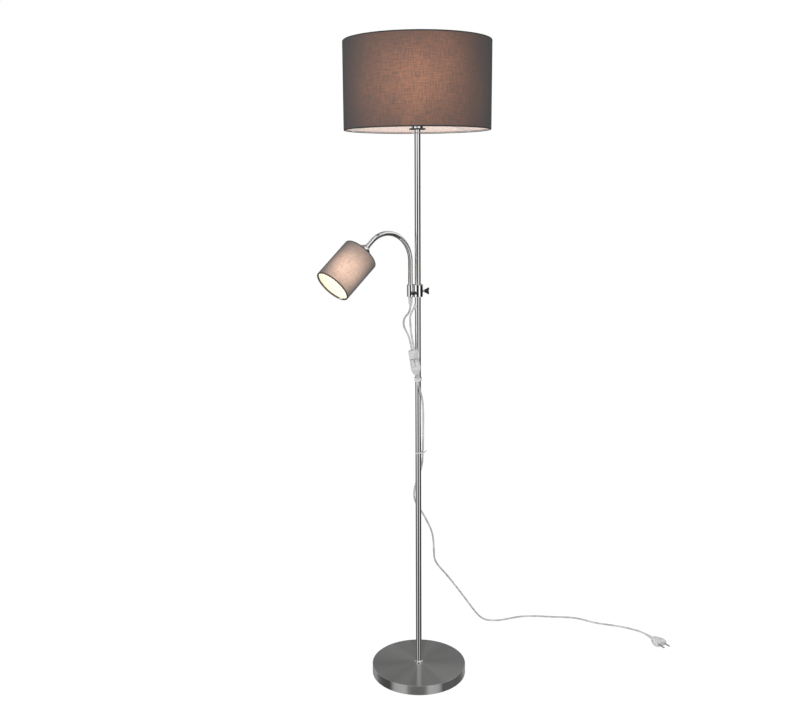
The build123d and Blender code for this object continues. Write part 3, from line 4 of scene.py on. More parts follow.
import bpy
from mathutils import Matrix, Vector
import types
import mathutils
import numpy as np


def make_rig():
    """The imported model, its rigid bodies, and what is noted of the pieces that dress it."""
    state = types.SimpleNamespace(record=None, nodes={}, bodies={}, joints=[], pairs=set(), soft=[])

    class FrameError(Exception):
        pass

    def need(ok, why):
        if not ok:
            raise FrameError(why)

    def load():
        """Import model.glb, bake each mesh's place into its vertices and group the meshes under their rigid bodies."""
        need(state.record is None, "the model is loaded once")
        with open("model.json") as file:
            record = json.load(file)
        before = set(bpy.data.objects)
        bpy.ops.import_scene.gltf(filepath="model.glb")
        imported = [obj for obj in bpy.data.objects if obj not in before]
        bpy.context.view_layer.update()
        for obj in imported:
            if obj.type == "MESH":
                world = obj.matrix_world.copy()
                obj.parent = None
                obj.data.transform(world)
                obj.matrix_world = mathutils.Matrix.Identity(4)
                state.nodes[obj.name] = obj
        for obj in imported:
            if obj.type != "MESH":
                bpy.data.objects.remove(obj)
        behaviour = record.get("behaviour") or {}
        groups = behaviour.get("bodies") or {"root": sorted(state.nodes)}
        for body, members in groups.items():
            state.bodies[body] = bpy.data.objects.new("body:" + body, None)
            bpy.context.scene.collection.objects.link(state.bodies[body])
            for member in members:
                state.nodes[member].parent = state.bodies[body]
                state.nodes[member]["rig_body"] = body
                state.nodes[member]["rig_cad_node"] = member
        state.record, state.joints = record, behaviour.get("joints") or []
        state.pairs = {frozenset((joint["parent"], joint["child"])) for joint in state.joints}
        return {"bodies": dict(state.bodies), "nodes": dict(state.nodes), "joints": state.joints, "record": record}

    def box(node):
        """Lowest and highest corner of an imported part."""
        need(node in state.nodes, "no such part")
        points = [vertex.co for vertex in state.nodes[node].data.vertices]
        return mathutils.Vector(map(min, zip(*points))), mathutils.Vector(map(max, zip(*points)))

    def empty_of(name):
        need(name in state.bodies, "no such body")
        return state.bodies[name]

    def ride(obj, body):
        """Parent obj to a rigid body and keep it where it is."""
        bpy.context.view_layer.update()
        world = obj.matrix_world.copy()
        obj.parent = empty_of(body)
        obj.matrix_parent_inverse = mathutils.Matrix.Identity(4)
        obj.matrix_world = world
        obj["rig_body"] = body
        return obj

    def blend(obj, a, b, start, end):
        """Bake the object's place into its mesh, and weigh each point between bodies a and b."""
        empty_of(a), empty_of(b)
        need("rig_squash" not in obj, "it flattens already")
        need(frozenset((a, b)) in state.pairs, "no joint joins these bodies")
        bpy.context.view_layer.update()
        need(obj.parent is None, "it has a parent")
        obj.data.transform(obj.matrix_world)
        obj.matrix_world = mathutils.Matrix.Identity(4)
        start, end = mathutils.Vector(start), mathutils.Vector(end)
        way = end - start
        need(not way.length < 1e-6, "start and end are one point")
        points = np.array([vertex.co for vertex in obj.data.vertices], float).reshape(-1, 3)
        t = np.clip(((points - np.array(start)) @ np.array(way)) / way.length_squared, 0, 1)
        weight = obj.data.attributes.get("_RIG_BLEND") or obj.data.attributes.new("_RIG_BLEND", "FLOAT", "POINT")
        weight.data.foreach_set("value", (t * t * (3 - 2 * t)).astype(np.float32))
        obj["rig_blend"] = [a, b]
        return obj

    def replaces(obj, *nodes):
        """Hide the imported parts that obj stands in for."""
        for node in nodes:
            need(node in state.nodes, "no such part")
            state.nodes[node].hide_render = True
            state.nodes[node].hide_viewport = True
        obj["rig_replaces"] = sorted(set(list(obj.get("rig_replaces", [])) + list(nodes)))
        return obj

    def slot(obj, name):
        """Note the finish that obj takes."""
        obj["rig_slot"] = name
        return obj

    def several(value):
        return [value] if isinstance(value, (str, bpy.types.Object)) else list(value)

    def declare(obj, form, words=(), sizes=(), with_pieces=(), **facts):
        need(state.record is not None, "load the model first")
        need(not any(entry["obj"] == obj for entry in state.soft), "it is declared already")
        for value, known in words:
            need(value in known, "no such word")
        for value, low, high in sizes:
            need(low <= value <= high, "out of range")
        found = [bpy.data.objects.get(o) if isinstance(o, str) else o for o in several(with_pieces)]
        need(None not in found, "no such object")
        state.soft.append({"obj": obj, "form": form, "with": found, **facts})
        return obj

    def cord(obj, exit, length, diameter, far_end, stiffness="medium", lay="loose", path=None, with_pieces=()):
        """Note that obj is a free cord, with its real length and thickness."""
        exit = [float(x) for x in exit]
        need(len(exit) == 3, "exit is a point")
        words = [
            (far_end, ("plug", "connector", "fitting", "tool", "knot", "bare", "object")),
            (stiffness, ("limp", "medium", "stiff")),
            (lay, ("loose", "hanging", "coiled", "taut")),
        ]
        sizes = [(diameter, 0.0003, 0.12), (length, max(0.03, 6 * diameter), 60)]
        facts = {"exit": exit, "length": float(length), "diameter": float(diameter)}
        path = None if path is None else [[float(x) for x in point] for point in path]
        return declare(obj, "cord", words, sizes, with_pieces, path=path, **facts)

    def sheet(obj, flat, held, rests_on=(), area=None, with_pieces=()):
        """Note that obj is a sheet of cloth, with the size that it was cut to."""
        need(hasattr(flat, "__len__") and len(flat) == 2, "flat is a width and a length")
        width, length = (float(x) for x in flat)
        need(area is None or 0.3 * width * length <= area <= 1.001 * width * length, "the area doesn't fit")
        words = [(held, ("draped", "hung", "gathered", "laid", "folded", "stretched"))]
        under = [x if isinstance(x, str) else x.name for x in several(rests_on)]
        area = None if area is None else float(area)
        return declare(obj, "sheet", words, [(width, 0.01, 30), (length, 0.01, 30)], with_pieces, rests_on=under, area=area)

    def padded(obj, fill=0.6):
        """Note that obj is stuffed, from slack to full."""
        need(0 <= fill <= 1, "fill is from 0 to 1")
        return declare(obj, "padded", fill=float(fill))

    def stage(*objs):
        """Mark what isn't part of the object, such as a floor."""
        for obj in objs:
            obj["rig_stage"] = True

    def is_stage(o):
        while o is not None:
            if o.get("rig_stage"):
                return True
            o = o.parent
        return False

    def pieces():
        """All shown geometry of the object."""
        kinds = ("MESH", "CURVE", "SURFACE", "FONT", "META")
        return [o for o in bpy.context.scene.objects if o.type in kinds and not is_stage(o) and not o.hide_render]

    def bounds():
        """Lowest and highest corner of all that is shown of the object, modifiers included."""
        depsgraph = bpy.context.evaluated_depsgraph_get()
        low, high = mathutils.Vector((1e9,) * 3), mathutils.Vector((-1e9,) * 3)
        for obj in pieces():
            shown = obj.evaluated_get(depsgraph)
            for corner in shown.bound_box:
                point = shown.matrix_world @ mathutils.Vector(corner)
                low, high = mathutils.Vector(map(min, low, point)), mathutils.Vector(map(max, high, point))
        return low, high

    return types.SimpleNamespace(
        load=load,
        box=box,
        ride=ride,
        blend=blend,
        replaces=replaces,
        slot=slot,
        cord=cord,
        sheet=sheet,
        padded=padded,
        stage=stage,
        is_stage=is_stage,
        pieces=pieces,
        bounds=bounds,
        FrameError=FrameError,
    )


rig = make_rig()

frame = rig.load()
cad_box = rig.bounds()


# ---------------------------------------------------------------- base
# The foot is a sheet steel disc with a turned-down rim, spun and brushed on a lathe, so fine
# rings run round it and light falls on it in wedges. It hides a cast iron weight.

class Wire:
    """The output of a shader node, which takes part in sums."""

    def __init__(self, recipe, socket):
        self.recipe = recipe
        self.socket = socket

    def other(self, name):
        """Another output of the same node."""
        return Wire(self.recipe, self.socket.node.outputs[name])

    def math(self, operation, first, second=0.0):
        return self.recipe.node("Math", {"operation": operation}, {0: first, 1: second})

    def __add__(self, value):
        return self.math("ADD", self, value)

    def __sub__(self, value):
        return self.math("SUBTRACT", self, value)

    def __rsub__(self, value):
        return self.math("SUBTRACT", value, self)

    def __mul__(self, value):
        return self.math("MULTIPLY", self, value)

    def __truediv__(self, value):
        return self.math("DIVIDE", self, value)

    def __pow__(self, value):
        return self.math("POWER", self, value)

    __radd__ = __add__
    __rmul__ = __mul__


class Recipe:
    """The nodes of one finish, or of the light round the lamp."""

    def __init__(self, owner):
        self.owner = owner
        owner.use_nodes = True
        self.tree = owner.node_tree
        self.tree.nodes.clear()

    def node(self, kind, settings={}, inputs={}, output=0):
        """Adds a node: its settings first, then the values or links of its sockets."""
        made = self.tree.nodes.new("ShaderNode" + kind)
        for name, setting in settings.items():
            setattr(made, name, setting)
        for name, value in inputs.items():
            if isinstance(value, Wire):
                self.tree.links.new(value.socket, made.inputs[name])
            else:
                made.inputs[name].default_value = value
        return Wire(self, made.outputs[output])

    def place(self):
        """Where a point of the piece lies, in metres in the lamp's own frame."""
        return self.node("TexCoord", output="Object")

    def parts_of(self, vector):
        x = self.node("SeparateXYZ", {}, {0: vector})
        return x, x.other("Y"), x.other("Z")

    def vector(self, x=0.0, y=0.0, z=0.0):
        return self.node("CombineXYZ", {}, {0: x, 1: y, 2: z})

    def noise(self, vector, scale=1.0, detail=2.0, roughness=0.5):
        return self.node("TexNoise", {}, {
            "Vector": vector, "Scale": scale, "Detail": detail, "Roughness": roughness})

    def between(self, value, low, high):
        """How far a value has come from low to high, from 0 to 1, eased at both ends."""
        return self.node("MapRange", {"interpolation_type": "SMOOTHSTEP"}, {
            "Value": value, "From Min": low, "From Max": high})

    def mix(self, mask, first, second):
        """Two colours mixed by a mask."""
        return self.node("Mix", {"data_type": "RGBA"}, {0: mask, 6: first, 7: second}, output=2)

    def bump(self, height, distance, strength=1.0):
        return self.node("Bump", {}, {
            "Height": height, "Distance": distance, "Strength": strength})

    def skin(self, inputs):
        return self.node("BsdfPrincipled", {}, inputs)

    def finished(self, surface):
        kind = "World" if isinstance(self.owner, bpy.types.World) else "Material"
        end = self.tree.nodes.new("ShaderNodeOutput" + kind)
        self.tree.links.new(surface.socket, end.inputs["Surface"])
        return self.owner


def finish_named(name):
    return Recipe(bpy.data.materials.new(name))


def grey(level, warmth=0.0):
    """A grey, a little redder where warmth is over 0 and a little bluer where it is under."""
    return (level * (1 + warmth), level, level * (1 - warmth), 1.0)


def dress(finish, *nodes):
    for name in nodes:
        for slot in frame["nodes"][name].material_slots:
            slot.material = finish


def unmirrored(*things):
    """Keeps things out of reflections, so that the plating beside them stays neutral."""
    for thing in things:
        thing.visible_glossy = False


def spun_steel():
    recipe = finish_named("spun_steel")
    x, y, z = recipe.parts_of(recipe.place())
    radius = (x * x + y * y) ** 0.5
    ring_rate = 500.0
    ring_height = 0.000003
    along_the_rings = 0.25
    rings = recipe.noise(recipe.vector(radius * ring_rate, z * ring_rate, 0.0), detail=3.0)
    patches = recipe.noise(recipe.place(), scale=14.0, detail=3.0)
    return recipe.finished(recipe.skin({
        "Base Color": recipe.mix(rings * 0.7 + patches * 0.3, grey(0.40, 0.01), grey(0.46, 0.01)),
        "Roughness": 0.30 + rings * 0.04,
        "Metallic": 0.88,
        "Anisotropic": 1.0,
        "Anisotropic Rotation": along_the_rings,
        "Normal": recipe.bump(rings, ring_height, 0.4)}))


def cast_iron():
    recipe = finish_named("cast_iron")
    sand_height = 0.0004
    sand = recipe.noise(recipe.place(), scale=700.0, detail=4.0, roughness=0.7)
    return recipe.finished(recipe.skin({
        "Base Color": recipe.mix(sand, grey(0.03), grey(0.08, 0.05)),
        "Roughness": 0.8,
        "Metallic": 0.4,
        "Normal": recipe.bump(sand, sand_height, 0.6)}))


def zinc_steel():
    recipe = finish_named("zinc_steel")
    cloud = recipe.noise(recipe.place(), scale=300.0, detail=3.0)
    return recipe.finished(recipe.skin({
        "Base Color": recipe.mix(cloud, (0.50, 0.51, 0.55, 1.0), (0.68, 0.68, 0.66, 1.0)),
        "Roughness": 0.25 + cloud * 0.2,
        "Metallic": 1.0}))


zinc = zinc_steel()
dress(spun_steel(), "base_cover")
dress(cast_iron(), "base_weight")
dress(zinc, "base_nipple", "base_washer", "base_nut")
unmirrored(*(frame["nodes"][name] for name in (
    "base_cover", "base_weight", "base_washer", "base_nut")))


# ---------------------------------------------------------------- foam pad
# A disc of closed-cell foam glued under the weight, which keeps the steel off the floor. Its
# rim is rounded where the die pressed it down.

def added(name, data):
    """An object of the scene, from a mesh, a curve, a light or a camera."""
    thing = bpy.data.objects.new(name, data)
    bpy.context.scene.collection.objects.link(thing)
    return thing


def turned(name, outline, steps, point_at):
    """A piece turned round an axis: outline is a closed line of (radius, station)."""
    vertices = [point_at(radius, 2 * pi * step / steps, station)
                for step in range(steps) for radius, station in outline]
    count = len(outline)
    faces = []
    for step in range(steps):
        after = (step + 1) % steps
        for k in range(count):
            next_k = (k + 1) % count
            faces.append((step * count + k, after * count + k,
                          after * count + next_k, step * count + next_k))
    mesh = bpy.data.meshes.new(name)
    mesh.from_pydata(vertices, [], faces)
    mesh.validate()
    for face in mesh.polygons:
        face.use_smooth = True
    return added(name, mesh)


def upright(radius, angle, height):
    return (radius * cos(angle), radius * sin(angle), height)


def foam():
    recipe = finish_named("foam")
    cell_height = 0.0003
    cells = recipe.noise(recipe.place(), scale=1500.0, detail=2.0)
    return recipe.finished(recipe.skin({
        "Base Color": recipe.mix(cells, grey(0.02), grey(0.05)),
        "Roughness": 0.95,
        "Normal": recipe.bump(cells, cell_height)}))


def add_foam_pad():
    low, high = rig.box("floor_pad")
    radius = high.x
    rim = (high.z - low.z) / 2
    centre_hole = 0.0001
    rounding = [radians(angle) for angle in (-90, -60, -30, 0, 30, 60, 90)]
    outline = [(centre_hole, low.z)]
    outline += [(radius - rim + rim * cos(a), low.z + rim + rim * sin(a)) for a in rounding]
    outline += [(centre_hole, high.z)]
    pad = turned("foot_pad", outline, 96, upright)
    pad.data.materials.append(foam())
    unmirrored(pad)
    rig.ride(pad, "root")
    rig.replaces(pad, "floor_pad")
    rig.slot(pad, "foam_pad")
    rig.padded(pad, fill=1.0)


add_foam_pad()


# ---------------------------------------------------------------- pole
# Three thin steel tubes screwed end to end and nickel plated to a satin shine. Polishing goes
# round the tube, so light stays in sharp stripes along it.

def satin_nickel():
    recipe = finish_named("satin_nickel")
    x, y, z = recipe.parts_of(recipe.place())
    across = 40.0
    along = 250.0
    lines = recipe.noise(recipe.vector(x * across, y * across, z * along), detail=2.0)
    return recipe.finished(recipe.skin({
        "Base Color": recipe.mix(lines, grey(0.70, 0.01), grey(0.74, 0.01)),
        "Roughness": 0.05 + lines * 0.02,
        "Metallic": 1.0}))


def polished_nickel():
    recipe = finish_named("polished_nickel")
    cloud = recipe.noise(recipe.place(), scale=120.0, detail=3.0)
    return recipe.finished(recipe.skin({
        "Base Color": recipe.mix(cloud, grey(0.74, 0.01), grey(0.84, 0.01)),
        "Roughness": 0.05 + cloud * 0.06,
        "Metallic": 1.0}))


nickel = polished_nickel()
dress(satin_nickel(), "lower_tube", "middle_tube", "upper_tube")
dress(nickel, "foot_collar")
dress(zinc, "tube_bushes", "top_nipple")


# ---------------------------------------------------------------- main lampholder and bulb
# A moulded lampholder on a dark saucer and a bright cup. Its bulb is an opal globe, lit warm
# white, with a plated screw cap.

def dark_moulding(name, level, sheen):
    recipe = finish_named(name)
    grain_height = 0.00008
    grain = recipe.noise(recipe.place(), scale=900.0, detail=3.0)
    wear = recipe.noise(recipe.place(), scale=60.0, detail=4.0)
    return recipe.finished(recipe.skin({
        "Base Color": recipe.mix(wear, grey(level), grey(level * 1.8)),
        "Roughness": sheen + grain * 0.12,
        "Normal": recipe.bump(grain, grain_height, 0.6)}))


def brass():
    recipe = finish_named("brass")
    cloud = recipe.noise(recipe.place(), scale=400.0, detail=3.0)
    return recipe.finished(recipe.skin({
        "Base Color": recipe.mix(cloud, (0.62, 0.42, 0.16, 1.0), (0.80, 0.60, 0.28, 1.0)),
        "Roughness": 0.2 + cloud * 0.2,
        "Metallic": 1.0}))


def screw_cap():
    recipe = finish_named("screw_cap")
    cloud = recipe.noise(recipe.place(), scale=500.0, detail=3.0)
    return recipe.finished(recipe.skin({
        "Base Color": recipe.mix(cloud, grey(0.62), grey(0.78)),
        "Roughness": 0.18 + cloud * 0.15,
        "Metallic": 1.0}))


def opal_glass():
    recipe = finish_named("opal_glass")
    cloud = recipe.noise(recipe.place(), scale=30.0, detail=2.0)
    return recipe.finished(recipe.skin({
        "Base Color": grey(0.85),
        "Roughness": 0.15,
        "Emission Color": recipe.mix(cloud, (1.0, 0.86, 0.62, 1.0), (1.0, 0.92, 0.74, 1.0)),
        "Emission Strength": 2.2}))


dark_plastic = dark_moulding("dark_plastic", 0.035, 0.35)
contact_brass = brass()
bulb_metal = screw_cap()
bulb_glass = opal_glass()
dress(dark_plastic, "holder_disc", "lampholder_cap", "lampholder_body", "shade_ring")
dress(nickel, "socket_cup")
dress(contact_brass, "lampholder_contacts")
dress(bulb_metal, "bulb_base")
dress(bulb_glass, "bulb_glass")


# ---------------------------------------------------------------- main shade
# A drum of dark grey linen bonded to a film, rolled round two wire rings and held by a white
# spider. The yarn is slubby both ways, and the bulb's light is painted on it as a warm, uneven glow.

class Drum:
    """A drum shade: its mouth's centre, its axis, a direction across it, and its size."""

    def __init__(self, mouth, axis, side, radius, height):
        self.mouth = mouth
        self.axis = axis
        self.side = side
        self.depth = axis.cross(side)
        self.radius = radius
        self.height = height

    def point_at(self, radius, angle, station):
        return (self.mouth + self.axis * station
                + self.side * (radius * cos(angle)) + self.depth * (radius * sin(angle)))

    def stations(self, recipe):
        """Distance along the drum from its mouth, and the angle round it."""
        offset = recipe.node("VectorMath", {"operation": "SUBTRACT"}, {
            0: recipe.place(), 1: self.mouth})
        station, across, depth = (
            recipe.node("VectorMath", {"operation": "DOT_PRODUCT"}, {0: offset, 1: line},
                        output="Value")
            for line in (self.axis, self.side, self.depth))
        return station, across.math("ARCTAN2", depth, across)


def linen(name, drum, cloth, slubs, glow, glow_strength, glow_at, glow_spread, rim,
          glow_fade_at_slant):
    """Linen with the bulb's light through it painted on as a glow, which is painted fainter at a slant."""
    recipe = finish_named(name)
    station, angle = drum.stations(recipe)
    around = angle * drum.radius
    yarn_rate = 420.0
    slub_rate = 42.0
    warp = recipe.noise(recipe.vector(around * yarn_rate, station * slub_rate), detail=3.0,
                        roughness=0.65)
    weft = recipe.noise(recipe.vector(around * slub_rate, station * yarn_rate, 7.0), detail=3.0,
                        roughness=0.65)
    yarn = recipe.between(warp + weft, 0.76, 1.24)
    thread_pitch = 0.0011
    thread_height = 0.0002
    thread_rate = 2 * pi / thread_pitch
    crossings = around.math("SINE", around * thread_rate) * around.math(
        "SINE", station * thread_rate)
    # Painted light: the bulb's light through the cloth is a glow with a hot spot at the bulb's height. It is uneven in
    # patches, brighter through thin yarn, and none at the hems.
    offset = (station - drum.height * glow_at) / glow_spread
    painted_hot_spot = around.math("EXPONENT", offset * offset * -0.5)
    patch_rate_around = 11.0
    patch_rate_along = 6.0
    least_lit = 0.28
    patch_depth = 0.44
    patches = recipe.noise(recipe.vector(around * patch_rate_around, station * patch_rate_along,
                                         5.0), detail=1.0)
    open_cloth = recipe.between(station, rim * 0.6, rim) * (
        1.0 - recipe.between(station, drum.height - rim, drum.height - rim * 0.6))
    lit = painted_hot_spot * (least_lit + patches * patch_depth) * (1.0 + (0.5 - yarn) * slubs) * open_cloth
    # Painted shade: the hems are darker than the rest of the cloth, where no glow comes through.
    flat = recipe.mix(open_cloth, grey(cloth * 0.55), grey(cloth, -0.07))
    cloth_colour = recipe.mix(yarn, flat, grey(cloth * 1.35, -0.05))
    weave = recipe.bump(yarn * 0.7 + crossings * 0.3, thread_height, 0.8)
    glowing = recipe.skin({
        "Base Color": cloth_colour,
        "Roughness": 0.9,
        "Specular IOR Level": 0.2,
        "Emission Color": recipe.mix(lit, (0.0, 0.0, 0.0, 1.0), glow),
        "Emission Strength": glow_strength,
        "Normal": weave})
    unlit_cloth = recipe.skin({
        "Base Color": cloth_colour,
        "Roughness": 0.95,
        "Specular IOR Level": 0.2,
        "Normal": weave})
    # Painted shade: the glow is painted fainter where the cloth is seen at a slant, as Layer Weight mixes it out.
    slant = recipe.node("LayerWeight", {}, {"Blend": 0.5}, output="Facing")
    glow_faded = 1.0 - (1.0 - slant) ** glow_fade_at_slant
    return recipe.finished(recipe.node("MixShader", {}, {0: glow_faded, 1: glowing, 2: unlit_cloth}))


def lining(name, drum, colour, glow, glow_strength, glow_spread):
    """White film inside a shade, with the bulb's light on it painted as a glow and a warm tint."""
    recipe = finish_named(name)
    station, angle = drum.stations(recipe)
    offset = (station - drum.height / 2) / glow_spread
    # Painted light: the glow of the bulb on the film, brightest beside it.
    painted_hot_spot = station.math("EXPONENT", offset * offset * -0.5)
    cloud = recipe.noise(recipe.vector(angle * 3.0, station * 30.0), detail=2.0)
    lit = painted_hot_spot * 0.55 + 0.35 + cloud * 0.1
    return recipe.finished(recipe.skin({
        # The film's colour is tinted warm: painted light of the bulb.
        "Base Color": recipe.mix(cloud, grey(0.72), colour),
        "Roughness": 0.45,
        "Emission Color": recipe.mix(lit, (0.0, 0.0, 0.0, 1.0), glow),
        "Emission Strength": glow_strength}))


def cloth_outline(drum, thickness, hem, tuck):
    """The cloth from its inner hem at one rim, over the wires, to the other inner hem."""
    roll = hem / 2
    middle = drum.radius - roll
    turn = [radians(angle) for angle in (180, 210, 240, 270, 300, 330, 360)]
    rows = (0.06, 0.2, 0.35, 0.5, 0.65, 0.8, 0.94)

    def face(depth):
        """One face of the cloth, that far in from the outer one."""
        bend = roll - depth
        line = [(middle - bend, tuck)]
        line += [(middle + bend * cos(a), roll + bend * sin(a)) for a in turn]
        line += [(middle + bend, drum.height * row) for row in rows]
        line += [(middle + bend * cos(a), drum.height - roll - bend * sin(a))
                 for a in reversed(turn)]
        line.append((middle - bend, drum.height - tuck))
        return line

    return face(0.0) + face(thickness)[::-1]


def add_cloth(name, drum, node, frame_node, body, finish, hem, tuck, steps):
    thickness = 0.0006
    lap = 0.0004
    lap_width = 0.012

    def lapped(radius, angle, station):
        """The cloth's end lies over its start in a seam at the back."""
        turn = (angle - pi / 2) % (2 * pi)
        proud = lap if 0 < turn < lap_width / drum.radius else 0.0
        return drum.point_at(radius + proud, angle, station)

    piece = turned(name, cloth_outline(drum, thickness, hem, tuck), steps, lapped)
    piece.data.materials.append(finish)
    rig.ride(piece, body)
    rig.replaces(piece, node)
    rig.slot(piece, "grey_linen")
    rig.sheet(piece, flat=(2 * pi * drum.radius, drum.height + 2 * (tuck + hem)),
             held="stretched", rests_on=[frame_node])
    return piece


def powder_coat():
    recipe = finish_named("powder_coat")
    peel_height = 0.0001
    peel = recipe.noise(recipe.place(), scale=500.0, detail=2.0)
    return recipe.finished(recipe.skin({
        "Base Color": recipe.mix(peel, grey(0.76), grey(0.86)),
        "Roughness": 0.35,
        "Normal": recipe.bump(peel, peel_height, 0.4)}))


def main_drum():
    low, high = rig.box("shade_fabric")
    return Drum(Vector((0.0, 0.0, low.z)), Vector((0.0, 0.0, 1.0)), Vector((1.0, 0.0, 0.0)),
                high.x, high.z - low.z)


white_wire = powder_coat()
main_shade = main_drum()
main_linen = linen("main_linen", main_shade, cloth=0.060, slubs=0.8, glow=(1.0, 0.40, 0.20, 1.0),
                   glow_strength=0.54, glow_at=0.5, glow_spread=0.092, rim=0.004,
                   glow_fade_at_slant=2.2)
main_cloth = add_cloth("main_shade_cloth", main_shade, "shade_fabric", "shade_frame", "root",
                       main_linen, hem=0.0044, tuck=0.004, steps=192)
dress(lining("main_lining", main_shade, (0.84, 0.72, 0.66, 1.0), (1.0, 0.70, 0.60, 1.0),
             0.28, 0.10), "shade_liner")
dress(white_wire, "shade_frame")
unmirrored(main_cloth, frame["nodes"]["shade_liner"])


# ---------------------------------------------------------------- clamp
# A die-cast block of two joined bosses, nickel plated and polished bright. One wing screw
# grips the pole through a nylon sleeve, the other grips the arm.

def nylon():
    recipe = finish_named("nylon")
    cloud = recipe.noise(recipe.place(), scale=200.0, detail=2.0)
    return recipe.finished(recipe.skin({
        "Base Color": recipe.mix(cloud, grey(0.70, 0.03), grey(0.80, 0.03)),
        "Roughness": 0.4,
        "Subsurface Weight": 0.2,
        "Subsurface Scale": 0.002}))


black_plastic = dark_moulding("black_plastic", 0.012, 0.28)
dress(nylon(), "clamp_bush")
dress(nickel, "clamp_block", "arm_ferrule")
dress(zinc, "clamp_screw", "arm_screw")
dress(black_plastic, "clamp_wing", "arm_wing")


# ---------------------------------------------------------------- gooseneck
# Two steel wires wound into a hose that stays where it is bent, nickel plated, with fine flat
# ribs. It is made in five lengths, each across one hinge of the frame.

neck_foot = Vector((-0.018, 0.0, 1.056))
neck_rise = 0.031
neck_bend = 0.070
neck_turn = radians(130.7)
neck_tail = 0.020
neck_length = neck_rise + neck_bend * neck_turn + neck_tail
neck_radius = 0.00575
rib_pitch = 0.0020
rib_depth = 0.00012
# Along a rib's pitch, as shares of it, and into its groove, as shares of the depth.
rib_profile = ((0.0, 1.0), (0.04, 0.3), (0.07, 0.0), (0.10, 0.0), (0.5, 0.0), (0.90, 0.0),
               (0.93, 0.0), (0.96, 0.3))
first_hinge = 0.042
hinge_pitch = 0.032
neck_bodies = ["arm", "neck_1", "neck_2", "neck_3", "neck_4", "head"]
neck_azimuth = radians(219.0)
neck_reach = Vector((cos(neck_azimuth), sin(neck_azimuth), 0.0))
neck_side = Vector((0.0, 0.0, 1.0)).cross(neck_reach)


def neck_at(station):
    """The point on the neck's centre line, and the direction in which it runs."""
    up = Vector((0.0, 0.0, 1.0))
    if station < neck_rise:
        return neck_foot + up * station, up
    turned_by = min((station - neck_rise) / neck_bend, neck_turn)
    point = (neck_foot + up * (neck_rise + neck_bend * sin(turned_by))
             + neck_reach * (neck_bend * (1 - cos(turned_by))))
    direction = up * cos(turned_by) + neck_reach * sin(turned_by)
    past = max(0.0, station - neck_rise - neck_bend * neck_turn)
    return point + direction * past, direction


def ringed(name, vertices, sides):
    """A closed piece from rings of points, with a flat face at both ends."""
    last = len(vertices) // sides - 1
    faces = [(ring * sides + side, ring * sides + (side + 1) % sides,
              (ring + 1) * sides + (side + 1) % sides, (ring + 1) * sides + side)
             for ring in range(last) for side in range(sides)]
    faces.append(tuple(reversed(range(sides))))
    faces.append(tuple(last * sides + side for side in range(sides)))
    mesh = bpy.data.meshes.new(name)
    mesh.from_pydata(vertices, [], faces)
    for face in mesh.polygons:
        face.use_smooth = len(face.vertices) == 4
    return added(name, mesh)


def add_neck_length(number, start, end, first_body, second_body, hinge, nodes, finish):
    """One length of the neck, with its ribs, bending from one body to the next."""
    sides = 28
    overlap = 0.0003
    ribs = round((end - start + overlap) / rib_pitch)
    outline = [((rib + share) / ribs, depth) for rib in range(ribs) for share, depth in rib_profile]
    outline.append((1.0, 1.0))
    vertices = []
    for along, depth in outline:
        point, direction = neck_at(start + (end - start + overlap) * along)
        lift = neck_side.cross(direction)
        radius = neck_radius - rib_depth * depth
        for side in range(sides):
            angle = 2 * pi * side / sides
            vertices.append(point + (neck_side * cos(angle) + lift * sin(angle)) * radius)
    piece = ringed("gooseneck_%d" % number, vertices, sides)
    piece.data.materials.append(finish)
    bend_share = 0.42
    reach = hinge_pitch * bend_share
    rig.blend(piece, first_body, second_body, start=neck_at(hinge - reach)[0],
             end=neck_at(hinge + reach)[0])
    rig.replaces(piece, *nodes)
    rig.slot(piece, "gooseneck_steel")


def add_gooseneck():
    hinges = [first_hinge + hinge_pitch * k for k in range(len(neck_bodies) - 1)]
    ends = [0.0] + [(a + b) / 2 for a, b in zip(hinges, hinges[1:])] + [neck_length]
    links = [["neck_link_0", "neck_link_1"]] + [["neck_link_%d" % (k + 2)] for k in range(4)]
    for k, hinge in enumerate(hinges):
        add_neck_length(k + 1, ends[k], ends[k + 1], neck_bodies[k], neck_bodies[k + 1],
                        hinge, links[k], nickel)


add_gooseneck()


# ---------------------------------------------------------------- reading head
# A plated cup on the neck's end holds a small screw lampholder. A ring clamps the shade to it,
# a drum of the same linen, with the brighter bulb's light painted on it as a strong glow.

def reading_drum():
    head_place = neck_at(neck_length)[0]
    head_line = neck_at(neck_length)[1]
    mouth_station = 0.1315
    shade_height = 0.108
    shade_radius = 0.045
    return Drum(head_place + head_line * mouth_station, -head_line, neck_side,
                shade_radius, shade_height)


reading_shade = reading_drum()
# Its cloth is set lighter than the main shade's: painted light on the same linen.
reading_linen = linen("reading_linen", reading_shade, cloth=0.10, slubs=0.45,
                      glow=(1.0, 0.64, 0.46, 1.0), glow_strength=2.2, glow_at=0.42,
                      glow_spread=0.038, rim=0.004, glow_fade_at_slant=2.2)
add_cloth("reading_shade_cloth", reading_shade, "reading_fabric", "reading_frame", "head",
          reading_linen, hem=0.0037, tuck=0.004, steps=96)
dress(lining("reading_lining", reading_shade, (0.84, 0.76, 0.58, 1.0), (1.0, 0.90, 0.66, 1.0),
             0.4, 0.05), "reading_liner")
dress(white_wire, "reading_frame")
dress(nickel, "head_cup")
dress(black_plastic, "reading_holder", "reading_ring")
dress(bulb_metal, "reading_bulb_base")
dress(bulb_glass, "reading_bulb_glass")
unmirrored(frame["nodes"]["reading_bulb_glass"], frame["nodes"]["reading_liner"])


# ---------------------------------------------------------------- leads
# Round leads in clear sheathing, soft enough to hang in loose bends. One comes down from the
# arm and one out of the pole, and both go into the switch. The third goes on to the plug.

